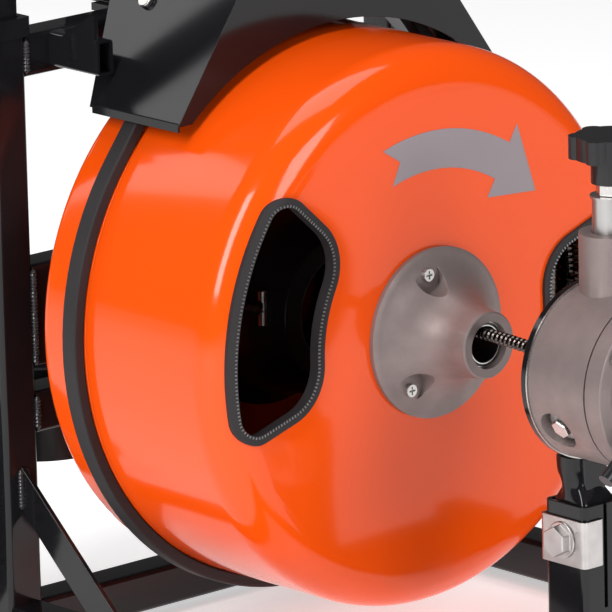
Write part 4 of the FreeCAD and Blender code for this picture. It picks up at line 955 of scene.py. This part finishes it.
class MESH_OT_drain_handle(bpy.types.Operator):
    """Finish the handle, its ribbed grip and the tool pot"""

    bl_idname = "mesh.drain_handle"
    bl_label = "Handle and pot"

    def execute(self, context):
        dressed("handle_frame", 0.001)
        dressed("tool_pot", 0.001)
        low, high = (np.array(corner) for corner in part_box("handle_grip"))
        centre, half = (low + high) / 2, (high[0] - low[0]) / 2
        along = np.linspace(-half, half, 181)
        ribbed = np.abs(along) < half - GRIP_PLAIN_END
        ribs = RIB_DEPTH * (np.cos(along * 2 * math.pi / RIB_PITCH) > RIB_SHARE) * ribbed
        outer = (high[1] - low[1]) / 2 - ribs
        outer[[0, -1]] -= GRIP_END_DROP
        profile = np.concatenate([np.stack([outer, along], axis=1),
                                  [[GRIP_BORE, half], [GRIP_BORE, -half]]])
        points, faces = revolve(profile, centre, "X", 64)
        grip = add("ribbed_grip", points, faces, "black_rubber", "handle")
        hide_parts("handle_grip")
        return {"FINISHED"}


# ---------------------------------------------------------------- stage
FLOOR_HALF, FLOOR_SHADE, FLOOR_GLOW = 12.0, 0.93, 0.5
WORLD_LIGHT, BACKDROP = 0.08, 0.85  # world's strength, and what the camera sees on top of it
LIGHT_AIM = Vector((0, 0.05, 0.28))
SOFTBOXES = (  # name, place, width and height, watts
    ("key_softbox", (-3.0, -0.6, 2.2), (0.9, 2.4), 84.0),
    ("front_softbox", (0.2, -3.6, 2.0), (1.4, 2.0), 66.0),
    ("top_softbox", (0.2, 0.2, 3.2), (2.4, 1.6), 40.0),
    ("rear_softbox", (-1.2, 3.0, 2.0), (1.4, 1.8), 20.0))
SENSOR_WIDTH, LENS_LENGTH, CLIP_END = 36.0, 493.8, 60.0
CAMERA_PLACE = (-3.8181, -4.2042, 1.7114)
CAMERA_RIGHT = Vector((0.74421, -0.66753, -0.02361))
CAMERA_UP = Vector((0.18274, 0.16947, 0.96845))
CAMERA_BACK = Vector((-0.64246, -0.72504, 0.24810))


class SCENE_OT_drain_stage(bpy.types.Operator):
    """Add the pale floor, the soft studio lights and the camera"""

    bl_idname = "scene.drain_stage"
    bl_label = "Stage"

    def execute(self, context):
        self.floor(context.scene)
        self.world(context.scene)
        self.lights(context.scene)
        self.camera(context.scene)
        context.scene.view_settings.view_transform = "Standard"
        return {"FINISHED"}

    def floor(self, scene):
        """Pale floor that glows a little, so that it stays even."""
        half = FLOOR_HALF
        mesh = bpy.data.meshes.new("studio_floor")
        mesh.from_pydata([(-half, -half, 0), (half, -half, 0), (half, half, 0), (-half, half, 0)],
                         [], [(0, 1, 2, 3)])
        floor = bpy.data.objects.new("studio_floor", mesh)
        scene.collection.objects.link(floor)
        paint = bpy.data.materials.new("pale_floor")
        paint.use_nodes = True
        shader = paint.node_tree.nodes["Principled BSDF"]
        shader.inputs["Base Color"].default_value = (FLOOR_SHADE, FLOOR_SHADE, FLOOR_SHADE, 1)
        shader.inputs["Roughness"].default_value = 0.6
        shader.inputs["Emission Color"].default_value = (1.0, 1.0, 1.0, 1)
        shader.inputs["Emission Strength"].default_value = FLOOR_GLOW
        mesh.materials.append(paint)

    def world(self, scene):
        """Dim white world that is bright only where the camera sees it."""
        world = scene.world or bpy.data.worlds.new("studio")
        scene.world = world
        world.use_nodes = True
        nodes, links = world.node_tree.nodes, world.node_tree.links
        sky = nodes["Background"]
        sky.inputs["Color"].default_value = (1.0, 1.0, 1.0, 1)
        seen, strength = nodes.new("ShaderNodeLightPath"), nodes.new("ShaderNodeMath")
        strength.operation = "MULTIPLY_ADD"
        strength.inputs[1].default_value = BACKDROP
        strength.inputs[2].default_value = WORLD_LIGHT
        links.new(seen.outputs["Is Camera Ray"], strength.inputs[0])
        links.new(strength.outputs[0], sky.inputs["Strength"])

    def lights(self, scene):
        """Soft boxes that point at the machine."""
        for name, place, size, power in SOFTBOXES:
            lamp = bpy.data.lights.new(name, "AREA")
            lamp.shape = "RECTANGLE"
            lamp.size, lamp.size_y = size
            lamp.energy = power
            holder = bpy.data.objects.new(name, lamp)
            scene.collection.objects.link(holder)
            aim = LIGHT_AIM - Vector(place)
            holder.rotation_euler = aim.to_track_quat("-Z", "Y").to_euler()
            holder.location = place

    def camera(self, scene):
        """Camera of the main view."""
        lens = bpy.data.cameras.new("studio_camera")
        lens.sensor_width, lens.lens, lens.clip_end = SENSOR_WIDTH, LENS_LENGTH, CLIP_END
        camera = bpy.data.objects.new("studio_camera", lens)
        scene.collection.objects.link(camera)
        turn = Matrix((CAMERA_RIGHT, CAMERA_UP, CAMERA_BACK)).transposed().to_4x4()
        camera.matrix_world = Matrix.Translation(CAMERA_PLACE) @ turn
        scene.camera = camera


STEPS = (MESH_OT_drain_frame, MESH_OT_drain_drum, MESH_OT_drain_hub, MESH_OT_drain_cable,
         MESH_OT_drain_feeder, MESH_OT_drain_drive, MESH_OT_drain_wheels, MESH_OT_drain_handle,
         SCENE_OT_drain_stage)


class VIEW3D_PT_drain_machine(bpy.types.Panel):
    """Lists the sizes, colours and steps of the machine."""

    bl_idname = "VIEW3D_PT_drain_machine"
    bl_label = "Drain Machine"
    bl_space_type = "VIEW_3D"
    bl_region_type = "UI"
    bl_category = "Drain Machine"

    def draw(self, context):
        column = self.layout.column()
        for name in DrainMachineSettings.__annotations__:
            column.prop(context.scene.drain_machine, name)
        for step in STEPS:
            column.operator(step.bl_idname)


def register():
    """Adds the settings, the steps and the panel to Blender."""
    bpy.utils.register_class(DrainMachineSettings)
    bpy.types.Scene.drain_machine = bpy.props.PointerProperty(type=DrainMachineSettings)
    for step in STEPS:
        bpy.utils.register_class(step)
    bpy.utils.register_class(VIEW3D_PT_drain_machine)


def unregister():
    """Takes them away again."""
    bpy.utils.unregister_class(VIEW3D_PT_drain_machine)
    for step in reversed(STEPS):
        bpy.utils.unregister_class(step)
    del bpy.types.Scene.drain_machine
    bpy.utils.unregister_class(DrainMachineSettings)


def main():
    """Runs every step in order."""
    register()
    for step in STEPS:
        group, name = step.bl_idname.split(".")
        getattr(getattr(bpy.ops, group), name)()


if __name__ == "__main__":
    main()
